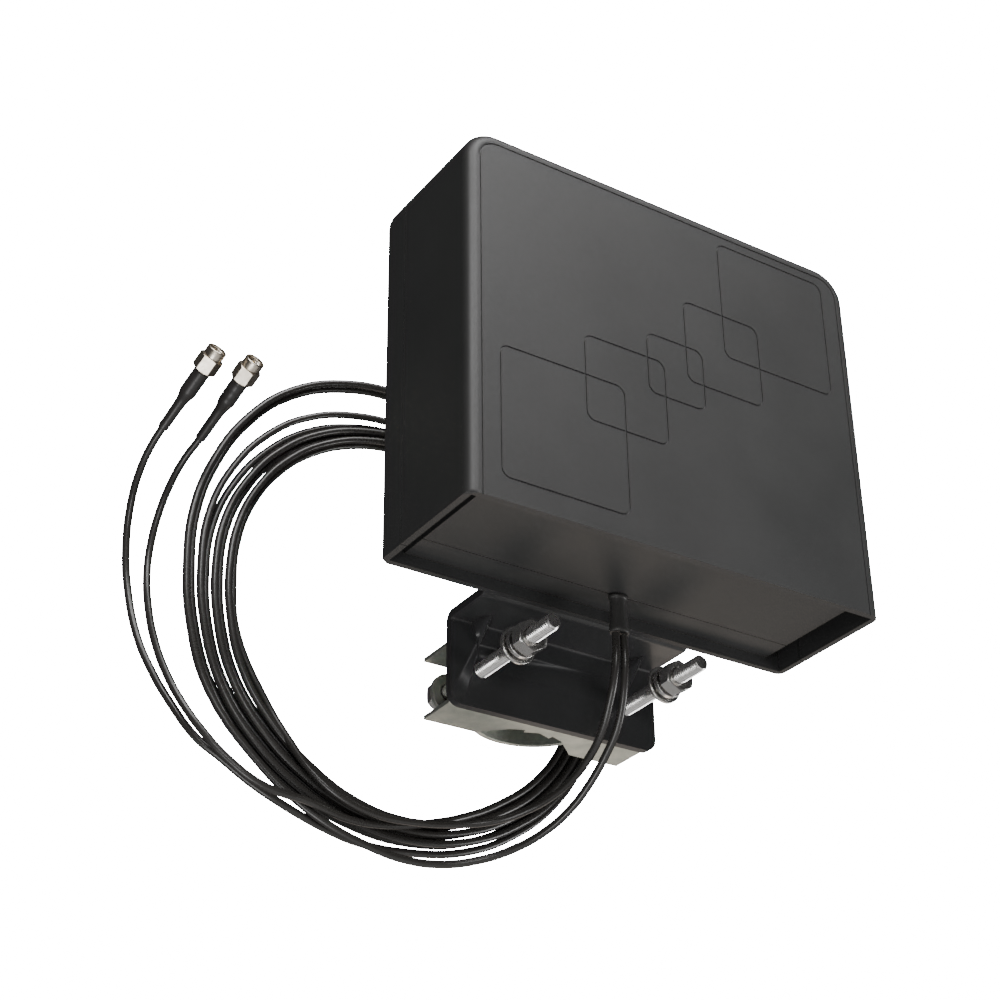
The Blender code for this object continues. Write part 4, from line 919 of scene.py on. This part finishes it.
def dart_mesh(x):
    """A pressed dart: a rounded ridge from the shelf down to the plate."""
    work = bmesh.new()
    for k in range(7):
        side = math.sin(math.pi * (k / 6 - 0.5))
        depth = math.cos(math.pi * (k / 6 - 0.5))
        work.verts.new((x + side * DART_HALF_WIDTH * MM, plate_front + DART_SINK,
                        shelf_low + DART_SINK))
        work.verts.new((x + side * DART_HALF_WIDTH * MM * 0.9, plate_front - 0.45 * DART_LEG * depth,
                        shelf_low - 0.45 * DART_LEG * depth))
    for end in ((plate_front - DART_LEG, shelf_low + DART_SINK), (plate_front - DART_LEG, shelf_low),
                (plate_front + DART_SINK, shelf_low - DART_LEG), (plate_front, shelf_low - DART_LEG)):
        work.verts.new((x, *end))
    bmesh.ops.convex_hull(work, input=work.verts)
    loose = [v for v in work.verts if not v.link_faces]
    bmesh.ops.delete(work, geom=loose, context='VERTS')
    return mesh_of(work, "dart")


bracket = sheet_piece("bent_bracket", [bend_profile(INNER_BEND)], 'X', bracket_low.x - MM,
                      bracket_high.x + MM)
face = rounded(rectangle(bracket_low.x, bracket_high.x, bracket_low.z, bracket_high.z),
               [PLATE_CORNER] * 4)
cut(bracket, sheet_piece("trim", [face], 'Y', flange_front - MM, plate_rear + MM), 'INTERSECT')
for side in (-1, 1):
    cut(bracket, new_piece("dart", dart_mesh(side * DART_SPREAD)), 'UNION')
    bolt_hole(bracket, side, plate_front - MM, plate_rear + MM)
soften(bracket, 0.35 * MM, 3, 50.0)
bracket.data.materials.append(bracket_paint)
declare(bracket, "antenna", "black_painted_steel", "mast_bracket")

# %% [markdown]
# ## Clamp
# The jaw is a channel of thin plated sheet whose two flanges have a toothed notch for the
# mast. The saddle is a strap bent to an arc, with an ear for each bolt. Both are cut from
# sheet, so their edges stay crisp: a tenth of a millimetre of rounding catches the light
# without making them look moulded.

# %% Jaw
JAW_SHEET = 1.5 * MM
jaw_low, jaw_high = corners_of("clamp_jaw")
web_rear = jaw_low.y + JAW_SHEET
NOTCH_FLOOR = -10.8 * MM
NOTCH_FLOOR_HALF = 11.0 * MM
TEETH_PER_SIDE = 2
TOOTH_DEPTH = 2.0 * MM
TOOTH_LEAN = 0.4 * MM
MOUTH_HALF = 20.5                   # in mm, where the notch meets the flange's edge
JAW_BEND = 0.8 * MM


def notch_outline():
    side = [((MOUTH_HALF + 1.0) * MM, jaw_high.y + MM), (MOUTH_HALF * MM, jaw_high.y)]
    pitch = NOTCH_FLOOR_HALF / TEETH_PER_SIDE
    for tooth in range(TEETH_PER_SIDE):
        x = NOTCH_FLOOR_HALF - tooth * pitch
        side.append((x, NOTCH_FLOOR))
        side.append((x - pitch + TOOTH_LEAN, NOTCH_FLOOR - TOOTH_DEPTH))
    return side + [(-u, v) for u, v in reversed(side)]


channel = [(jaw_high.y, jaw_low.z), (jaw_high.y, jaw_low.z + JAW_SHEET),
           (web_rear, jaw_low.z + JAW_SHEET), (web_rear, jaw_high.z - JAW_SHEET),
           (jaw_high.y, jaw_high.z - JAW_SHEET), (jaw_high.y, jaw_high.z),
           (jaw_low.y, jaw_high.z), (jaw_low.y, jaw_low.z)]
channel = rounded(channel, [0.0, 0.0, JAW_BEND, JAW_BEND,
                            0.0, 0.0, JAW_BEND + JAW_SHEET, JAW_BEND + JAW_SHEET], 8)
jaw = sheet_piece("toothed_jaw", [channel], 'X', jaw_low.x, jaw_high.x)
cut(jaw, sheet_piece("notch", [notch_outline()], 'Z', jaw_low.z - MM, jaw_high.z + MM))
for side in (-1, 1):
    bolt_hole(jaw, side, jaw_low.y - MM, web_rear + MM)
soften(jaw, 0.12 * MM, 2, 40.0)
jaw.data.materials.append(zinc)
declare(jaw, "antenna", "zinc_plated_steel", "clamp_jaw")

# %% Saddle
SADDLE_SHEET = 2.0 * MM
saddle_low, saddle_high = corners_of("clamp_saddle")
BEND_RADIUS = 23.0 * MM
EAR_CORNER = 7.0 * MM
arc_centre = saddle_high.y - SADDLE_SHEET - BEND_RADIUS
ear_rear = saddle_low.y + SADDLE_SHEET


def saddle_arc(radius, start, end, steps=48):
    return [(radius * math.cos(start + (end - start) * k / steps),
             arc_centre + radius * math.sin(start + (end - start) * k / steps))
            for k in range(steps + 1)]


outer = BEND_RADIUS + SADDLE_SHEET
outer_start = math.asin((ear_rear - arc_centre) / outer)
inner_start = math.asin((saddle_low.y - arc_centre) / BEND_RADIUS)
strap = [(saddle_high.x, saddle_low.y), (saddle_high.x, ear_rear)]
strap += saddle_arc(outer, outer_start, math.pi - outer_start)
strap += [(saddle_low.x, ear_rear), (saddle_low.x, saddle_low.y)]
strap += saddle_arc(BEND_RADIUS, math.pi - inner_start, inner_start)
saddle = sheet_piece("round_saddle", [strap], 'Z', saddle_low.z - MM, saddle_high.z + MM)
ears = rounded(rectangle(saddle_low.x, saddle_high.x, saddle_low.z, saddle_high.z),
               [EAR_CORNER] * 4)
cut(saddle, sheet_piece("trim", [ears], 'Y', saddle_low.y - MM, saddle_high.y + MM), 'INTERSECT')
for side in (-1, 1):
    bolt_hole(saddle, side, saddle_low.y - MM, ear_rear + MM)
soften(saddle, 0.15 * MM, 2, 40.0)
saddle.data.materials.append(zinc)
declare(saddle, "saddle", "zinc_plated_steel", "clamp_saddle")

# %% [markdown]
# ## Bolts, nuts and washers
# A thread is worth modelling, because its tip is one of the brightest spots on the object.
# A screw modifier could carry a small triangle up a helix, but its ends are hard to finish.
# Here the rod is a grid of rings whose radius follows the thread at each angle and height,
# so that the thread fades out by itself at the chamfered tip. A hexagon's chamfers are made
# the same way: the radius follows the flats, and the height drops towards the points.

# %% Threads and hexagons
RING_STEPS = 96
FLANK_START = 0.12                  # shares of half a pitch: the groove's flat floor,
FLANK_RISE = 0.76                   # and the flank up to the crest
ROWS_PER_PITCH = 6
TIP_CHAMFER = 0.6 * MM


def grid_mesh(name, rings, closed=False):
    """Faces between rings of equally many points; open ends are filled."""
    work = bmesh.new()
    made = [[work.verts.new(point) for point in ring] for ring in rings]
    count = len(made[0])
    pairs = list(zip(made, made[1:]))
    if closed:
        pairs.append((made[-1], made[0]))
    for upper, lower in pairs:
        for k in range(count):
            work.faces.new([upper[k], upper[(k + 1) % count], lower[(k + 1) % count], lower[k]])
    if not closed:
        work.faces.new(made[0])
        work.faces.new(list(reversed(made[-1])))
    return mesh_of(work, name)


def thread_height(turn):
    """From 0 in the groove to 1 on the crest, through one pitch."""
    away = abs(2.0 * (turn % 1.0) - 1.0)
    return min(1.0, max(0.0, (away - FLANK_START) / FLANK_RISE))


def threaded_rod(name, radius, depth, pitch, length, thread_from, steps=32):
    """A bolt's shank along +Z with a chamfered tip."""
    rings = []
    rows = round((length - thread_from) / pitch * ROWS_PER_PITCH)
    heights = [0.0, thread_from - 0.1 * MM]
    heights += [thread_from + (length - thread_from) * i / rows for i in range(rows + 1)]
    for height in heights:
        ring = []
        for k in range(steps):
            angle = math.tau * k / steps
            reach = radius
            if height >= thread_from:
                reach -= depth * (1.0 - thread_height(height / pitch - k / steps))
            reach = min(reach, radius - TIP_CHAMFER + (length - height))
            ring.append((*polar(reach, angle), height))
        rings.append(ring)
    return grid_mesh(name, rings)


def hexagon_ring(across, height, drop_from, direction):
    """A ring on a hexagon's sides; past drop_from it falls away along a 30 degree cone."""
    ring = []
    for k in range(RING_STEPS):
        angle = math.tau * k / RING_STEPS
        reach = across / 2 / math.cos((angle + math.pi / 6) % (math.pi / 3) - math.pi / 6)
        fall = (reach - drop_from) * math.tan(math.pi / 6) * direction
        ring.append((*polar(reach, angle), height - fall))
    return ring


def round_ring(radius, height):
    return [(*polar(radius, math.tau * k / RING_STEPS), height) for k in range(RING_STEPS)]


def hexagon_rings(across, low, high):
    face_radius = across / 2 * 0.95
    return [round_ring(face_radius, high), hexagon_ring(across, high, face_radius, 1),
            hexagon_ring(across, low, face_radius, -1), round_ring(face_radius, low)]


# %% Clamp bolts
BOLT_RADIUS = 3.0 * MM
THREAD_DEPTH = 0.65 * MM
THREAD_PITCH = 1.0 * MM
PLAIN_LENGTH = 24.0 * MM            # of the shank, before its thread starts
BOLT_LENGTH = 70.0 * MM
HEAD_HEIGHT = 4.0 * MM
ACROSS_FLATS = 11.0 * MM
HEAD_FACE = ACROSS_FLATS * 0.44
HEAD_STEP = 0.2 * MM

for label, side in (("left", -1), ("right", 1)):
    bolt_low, bolt_high = corners_of(f"clamp_bolt_{label}")
    head_front = bolt_low.y + BOLT_LENGTH
    x = side * BOLT_SPREAD
    place = along_front(x, head_front, BOLT_LEVEL)
    rod = threaded_rod("rod", BOLT_RADIUS, THREAD_DEPTH, THREAD_PITCH, BOLT_LENGTH, PLAIN_LENGTH)
    shank = placed_piece(f"bolt_shank_{label}", rod, thread_steel, place, crisp=24.0)
    declare(shank, "saddle", "bright_steel", f"clamp_bolt_{label}")

    rings = [round_ring(HEAD_FACE, 0.0), round_ring(HEAD_FACE, -HEAD_STEP)]
    rings += hexagon_rings(ACROSS_FLATS, -HEAD_HEIGHT, -HEAD_STEP)
    rings += [round_ring(3.6 * MM, -HEAD_HEIGHT), round_ring(3.2 * MM, -HEAD_HEIGHT + 0.3 * MM)]
    head = placed_piece(f"bolt_head_{label}", grid_mesh("head", rings), bolt_steel, place)
    declare(head, "saddle", "bright_steel")


# %% Nuts and washers
NUT_BORE = 3.1 * MM
NUT_MOUTH = 3.7 * MM
NUT_CHAMFER = 0.5 * MM
WASHER_BORE = 3.2 * MM
WASHER_RADIUS = 7.0 * MM
WASHER_LIP = 0.2 * MM
SPRING_RADIUS = 5.9 * MM
SPRING_THICKNESS = 1.8 * MM
SPRING_RISE = 0.5 * MM
SPLIT_START = math.radians(94.0)
SPLIT_SWEEP = math.radians(352.0)


def split_washer_mesh(outer, inner, thickness, rise):
    """A spring washer: a square wire wound almost once round, its ends stepped."""
    work = bmesh.new()
    middle = (outer + inner) / 2
    half = (outer - inner) / 2
    section = rounded([(-half, 0.0), (half, 0.0), (half, thickness), (-half, thickness)],
                      [WASHER_LIP] * 4, steps=2)
    sections = []
    count = 72
    for k in range(count + 1):
        angle = SPLIT_START + SPLIT_SWEEP * k / count
        lift = rise * (k / count - 0.5)
        sections.append([work.verts.new((*polar(middle + u, angle), v + lift))
                         for u, v in section])
    for first, second in zip(sections, sections[1:]):
        for i in range(len(section)):
            j = (i + 1) % len(section)
            work.faces.new([first[i], first[j], second[j], second[i]])
    work.faces.new(sections[0])
    work.faces.new(list(reversed(sections[-1])))
    return mesh_of(work, "split_washer")


for label, side in (("left", -1), ("right", 1)):
    x = side * BOLT_SPREAD
    nut_low, nut_high = corners_of(f"clamp_nut_{label}")
    height = nut_high.y - nut_low.y
    rings = hexagon_rings(ACROSS_FLATS, 0.0, height)
    rings = [round_ring(NUT_BORE, height - NUT_CHAMFER), round_ring(NUT_MOUTH, height)] + rings
    rings += [round_ring(NUT_MOUTH, 0.0), round_ring(NUT_BORE, NUT_CHAMFER)]
    nut = placed_piece(f"hex_nut_{label}", grid_mesh("nut", rings, closed=True), bolt_steel,
                       along_front(x, nut_high.y, BOLT_LEVEL))
    declare(nut, f"nut_{label}", "bright_steel", f"clamp_nut_{label}")

    ring_low, ring_high = corners_of(f"spring_washer_{label}")
    mesh = split_washer_mesh(SPRING_RADIUS, WASHER_BORE, SPRING_THICKNESS, SPRING_RISE)
    washer = placed_piece(f"split_washer_{label}", mesh, bolt_steel,
                          along_front(x, ring_high.y, BOLT_LEVEL))
    declare(washer, f"washers_{label}", "bright_steel", f"spring_washer_{label}")

    flat_low, flat_high = corners_of(f"flat_washer_{label}")
    thick = flat_high.y - flat_low.y
    profile = [(WASHER_RADIUS - WASHER_LIP, thick), (WASHER_RADIUS, thick - WASHER_LIP),
               (WASHER_RADIUS, WASHER_LIP), (WASHER_RADIUS - WASHER_LIP, 0.0),
               (WASHER_BORE, 0.0), (WASHER_BORE, thick)]
    flat = turned_piece(f"plain_washer_{label}", profile, bolt_steel,
                        along_front(x, flat_high.y, BOLT_LEVEL), 64, True)
    declare(flat, f"washers_{label}", "bright_steel", f"flat_washer_{label}")

# %% [markdown]
# ## Screws at the back
# Four small screws close the housing, and four larger ones hold the bracket. Each is a
# turned head with a cross cut into it, made once and placed four times.

# %% Back screws


def cross_head_screw(name, head_radius, rise, shank_radius, length, recess):
    """A pan-head screw along +Z with a cross recess."""
    profile = [(0.0, rise)]
    for k in range(1, 7):
        turn = math.pi / 2 * k / 6
        profile.append((head_radius * math.sin(turn), rise * (0.35 + 0.65 * math.cos(turn))))
    profile += [(head_radius, 0.0), (shank_radius, 0.0), (shank_radius, -length), (0.0, -length)]
    screw = new_piece(name, turned_mesh(name, profile, 40))
    arm = head_radius * 0.55
    width = head_radius * 0.11
    for size_x, size_y in ((arm, width), (width, arm)):
        slot_shape = rectangle(-size_x, size_x, -size_y, size_y)
        cut(screw, sheet_piece("slot", [slot_shape], 'Z', rise - recess, rise + MM))
    return soften(screw, 0.0)


def place_screws(kind, screw, rise):
    """Copies of one screw, with their seats a head's height in from the frame's screws' ends."""
    screw.data.materials.append(bolt_steel)
    turn = turned(-QUARTER, 0.0, 0.0)
    for number in range(1, 5):
        low, high = corners_of(f"{kind}_screw_{number}")
        mesh = screw.data.copy()
        mesh.transform(Matrix.Translation(((low.x + high.x) / 2, high.y - rise,
                                           (low.z + high.z) / 2)) @ turn)
        copy = new_piece(f"{kind}_pan_screw_{number}", mesh)
        declare(copy, "antenna", "bright_steel", f"{kind}_screw_{number}")
    bpy.data.objects.remove(screw)


# Head's radius and height, shank's radius and length, and the cross's depth, in mm.
for kind, *sizes in (("cover", 2.6, 1.7, 1.3, 17.0, 0.9), ("bracket", 4.6, 2.8, 2.4, 12.0, 1.6)):
    screw_sizes = [size * MM for size in sizes]
    place_screws(kind, cross_head_screw(kind, *screw_sizes), screw_sizes[1])

# %% [markdown]
# ## Hook and strap
# The coil hangs on a round peg with an upturned end, and a strap keeps its turns together.
# The peg is a curve with a round section, and its foot a turned disc. The strap is a
# closed band round the bundle, with a second, shorter layer where its end is fastened.

# %% Hook
hook_low, hook_high = corners_of("cable_hook")
peg_x = (hook_low.x + hook_high.x) / 2
peg_radius = 2.5 * MM
PEG_RISE = 9.0 * MM                 # of the upturned end over the peg's own line
PEG_BEND = 6.0 * MM
peg_z = hook_high.z - PEG_RISE
peg = bpy.data.curves.new("coil_peg", 'CURVE')
peg.dimensions = '3D'
peg.bevel_depth = peg_radius
peg.bevel_resolution = 6
peg.use_fill_caps = True
peg_line = peg.splines.new('POLY')
end_y = hook_high.y - peg_radius
stations = [(hook_low.y + MM, peg_z), (end_y - PEG_BEND, peg_z)]
for k in range(1, 13):
    turn = math.pi / 2 * k / 12
    stations.append((end_y - PEG_BEND * (1.0 - math.sin(turn)),
                     peg_z + PEG_BEND * (1.0 - math.cos(turn))))
stations.append((end_y, hook_high.z))
peg_line.points.add(len(stations) - 1)
for point, (y, z) in zip(peg_line.points, stations):
    point.co = (peg_x, y, z, 1.0)
peg.materials.append(bracket_paint)
peg_obj = bpy.data.objects.new("coil_peg", peg)
bpy.context.scene.collection.objects.link(peg_obj)
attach(peg_obj, "antenna")
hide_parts("cable_hook")
foot_profile = in_mm([(0.0, 3.2), (2.6, 3.2), (3.2, 2.6), (6.6, 2.5), (7.0, 2.1), (7.0, 0.0),
                      (0.0, 0.0)])
foot = turned_piece("peg_foot", foot_profile, bracket_paint,
                    Matrix.Translation((peg_x, hook_low.y, peg_z)) @ turned(-QUARTER, 0.0, 0.0))
declare(foot, "antenna", "black_painted_steel")

# %% Strap
STRAP_ANGLE = math.radians(25.0)
STRAP_HALF = 7.0                    # half of its width, in mm, as the next four are
COIL_INNER = 68.0                   # the bundle's inner and outer radius at the strap,
COIL_OUTER = 98.0
BUNDLE_HALF = 5.0                   # half of its depth,
BUNDLE_CORNER = 2.0                 # and how round its corners are
BAND_OUTSIDE = 1.5 * MM             # the band's two skins, over the bundle
BAND_INSIDE = 0.3 * MM
FLAP_START = 72.0 * MM              # the fastened end, along the coil's radius,
FLAP_END = 94.0 * MM
FLAP_INSIDE = 6.55 * MM             # its two skins, from the coil's middle,
FLAP_OUTSIDE = 7.6 * MM
FLAP_MARGIN = 0.8 * MM              # and how far it stays inside the band's edges


def strap_outline(grow):
    inner = math.sqrt(COIL_INNER ** 2 - STRAP_HALF ** 2) * MM - grow
    half = BUNDLE_HALF * MM + grow
    return rounded(rectangle(inner, COIL_OUTER * MM + grow, -half, half),
                   [BUNDLE_CORNER * MM + grow] * 4, steps=8)


turn_out = Matrix.Translation(COIL_CENTRE) @ turned(0.0, -STRAP_ANGLE, 0.0)
band = sheet_mesh("band", [strap_outline(BAND_OUTSIDE), strap_outline(BAND_INSIDE)], 'Z',
                  -STRAP_HALF * MM, STRAP_HALF * MM)
band.transform(turn_out)
strap_piece = soften(new_piece("coil_band", band, strap_webbing), 0.2 * MM, 2, 50.0)
declare(strap_piece, "antenna", "strap_webbing", "coil_strap")
flap = sheet_mesh("flap", [rounded(rectangle(FLAP_START, FLAP_END, FLAP_INSIDE, FLAP_OUTSIDE),
                                   [0.3 * MM] * 4, 3)],
                  'Z', -STRAP_HALF * MM + FLAP_MARGIN, STRAP_HALF * MM - FLAP_MARGIN)
flap.transform(turn_out)
flap_piece = soften(new_piece("band_end", flap, strap_webbing), 0.15 * MM, 2, 50.0)
declare(flap_piece, "antenna", "strap_webbing")

# %% [markdown]
# ## Plugs
# Each lead ends in a small screw-on plug: a rubber sleeve shrunk over the cable's end, a
# hexagon nut with a round collar, and inside the collar a thread, a white insulator and a
# gilt pin. All of it is turned work on one axis, so every piece is made along +Z and placed
# by the same matrix. The sleeve is not quite even, as heat-shrunk tube never is.

# %% Plug pieces
PLUG_HEX = 8.0 * MM
HEX_LENGTH = 6.2 * MM
PLUG_LENGTH = 9.6 * MM
COLLAR_RADIUS = 3.7 * MM
BORE_RADIUS = 3.05 * MM
PLUG_THREAD = 0.3 * MM
PLUG_PITCH = 0.7 * MM
THREAD_START = 2.6 * MM
THREAD_MARGIN = 0.5 * MM            # from the thread's end to the collar's end
CRIMP_ROWS = 18
CRIMP_START = 0.7 * MM
CRIMP_LENGTH = 9.3 * MM
CRIMP_RADIUS = 3.12 * MM
CRIMP_RIDGE = 0.05 * MM
insulator_white = moulded("insulator_white", (0.80, 0.79, 0.75), 0.35, 0.3 * MM, 0.01 * MM)


def sleeve_profile(length):
    """From the nut back to the cable, with the ridges of the crimp showing through."""
    profile = in_mm([(0.0, -0.3), (2.9, -0.3), (3.2, -0.7)])
    for k in range(1, CRIMP_ROWS + 1):
        depth = CRIMP_START + CRIMP_LENGTH * k / CRIMP_ROWS
        ridge = CRIMP_RIDGE * math.cos(math.tau * k / 6.0)
        profile.append((CRIMP_RADIUS + ridge * (1.0 if k < 16 else 0.3), -depth))
    profile += in_mm([(2.75, -11.6), (2.35, -13.0), (2.15, -14.4), (2.02, -18.0)])
    return profile + [(1.95 * MM, -length + 0.6 * MM), (1.80 * MM, -length), (0.0, -length)]


def coupling_nut_mesh():
    """Hexagon, collar and threaded bore in one closed skin."""
    face_radius = PLUG_HEX / 2 * 0.96
    rings = [round_ring(COLLAR_RADIUS - 0.35 * MM, PLUG_LENGTH),
             round_ring(COLLAR_RADIUS, PLUG_LENGTH - 0.35 * MM),
             round_ring(COLLAR_RADIUS, HEX_LENGTH + 0.5 * MM),
             round_ring(COLLAR_RADIUS - 0.2 * MM, HEX_LENGTH + 0.4 * MM),
             round_ring(COLLAR_RADIUS - 0.2 * MM, HEX_LENGTH),
             round_ring(face_radius, HEX_LENGTH - 0.01 * MM),
             hexagon_ring(PLUG_HEX, HEX_LENGTH, face_radius, 1),
             hexagon_ring(PLUG_HEX, 0.0, face_radius, -1),
             round_ring(face_radius, 0.0), round_ring(2.25 * MM, 0.0),
             round_ring(2.2 * MM, 1.8 * MM), round_ring(BORE_RADIUS, 1.85 * MM)]
    end = PLUG_LENGTH - THREAD_MARGIN
    rows = 54
    for i in range(rows + 1):
        height = THREAD_START + (end - THREAD_START) * i / rows
        fade = min(1.0, (end - height) / PLUG_PITCH)
        ring = []
        for k in range(RING_STEPS):
            angle = math.tau * k / RING_STEPS
            crest = thread_height(height / PLUG_PITCH - k / RING_STEPS)
            ring.append((*polar(BORE_RADIUS - PLUG_THREAD * fade * crest, angle), height))
        rings.append(ring)
    rings.append(round_ring(BORE_RADIUS + 0.25 * MM, PLUG_LENGTH))
    return grid_mesh("coupling_nut", rings, closed=True)


BARREL = in_mm([(0.0, 3.9), (2.35, 3.9), (2.35, 4.4), (2.6, 4.4), (2.7, 4.2), (2.7, 2.1),
                (1.9, 2.1), (1.9, 0.0), (0.0, 0.0)])
INSULATOR = in_mm([(0.0, 4.3), (2.1, 4.3), (2.25, 4.15), (2.25, 3.95), (0.0, 3.95)])
CONTACT = in_mm([(0.0, 8.6), (0.2, 8.55), (0.35, 8.3), (0.48, 7.8), (0.48, 4.35), (0.0, 4.35)])

for label, plug in (("a", PLUG_A), ("b", PLUG_B)):
    stand = plug["axis"].to_track_quat('Z', 'Y').to_matrix().to_4x4()
    place = Matrix.Translation(plug["place"]) @ stand
    sleeve = turned_piece(f"cable_sleeve_{label}", sleeve_profile(plug["sleeve"]), sleeve_rubber,
                          place)
    declare(sleeve, "antenna", "black_rubber", f"shrink_sleeve_{label}")
    coupling = placed_piece(f"coupling_nut_{label}", coupling_nut_mesh(), nickel, place)
    declare(coupling, f"coupling_{label}", "nickel_plate", f"plug_nut_{label}")
    barrel = turned_piece(f"plug_barrel_{label}", BARREL, nickel, place)
    declare(barrel, "antenna", "nickel_plate", f"plug_body_{label}")
    insulator = turned_piece(f"insulator_{label}", INSULATOR, insulator_white, place, 40)
    declare(insulator, "antenna", "nickel_plate")
    contact = turned_piece(f"contact_pin_{label}", CONTACT, gold, place, 24)
    declare(contact, "antenna", "gold_plate", f"plug_pin_{label}")
    plug["pieces"] = [sleeve, coupling, barrel, insulator, contact]

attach(cord_a, "antenna")
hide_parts("lead_a", "tail_a", "cable_coil")
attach(cord_b, "antenna")
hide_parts("lead_b", "tail_b")
print("leads declared")
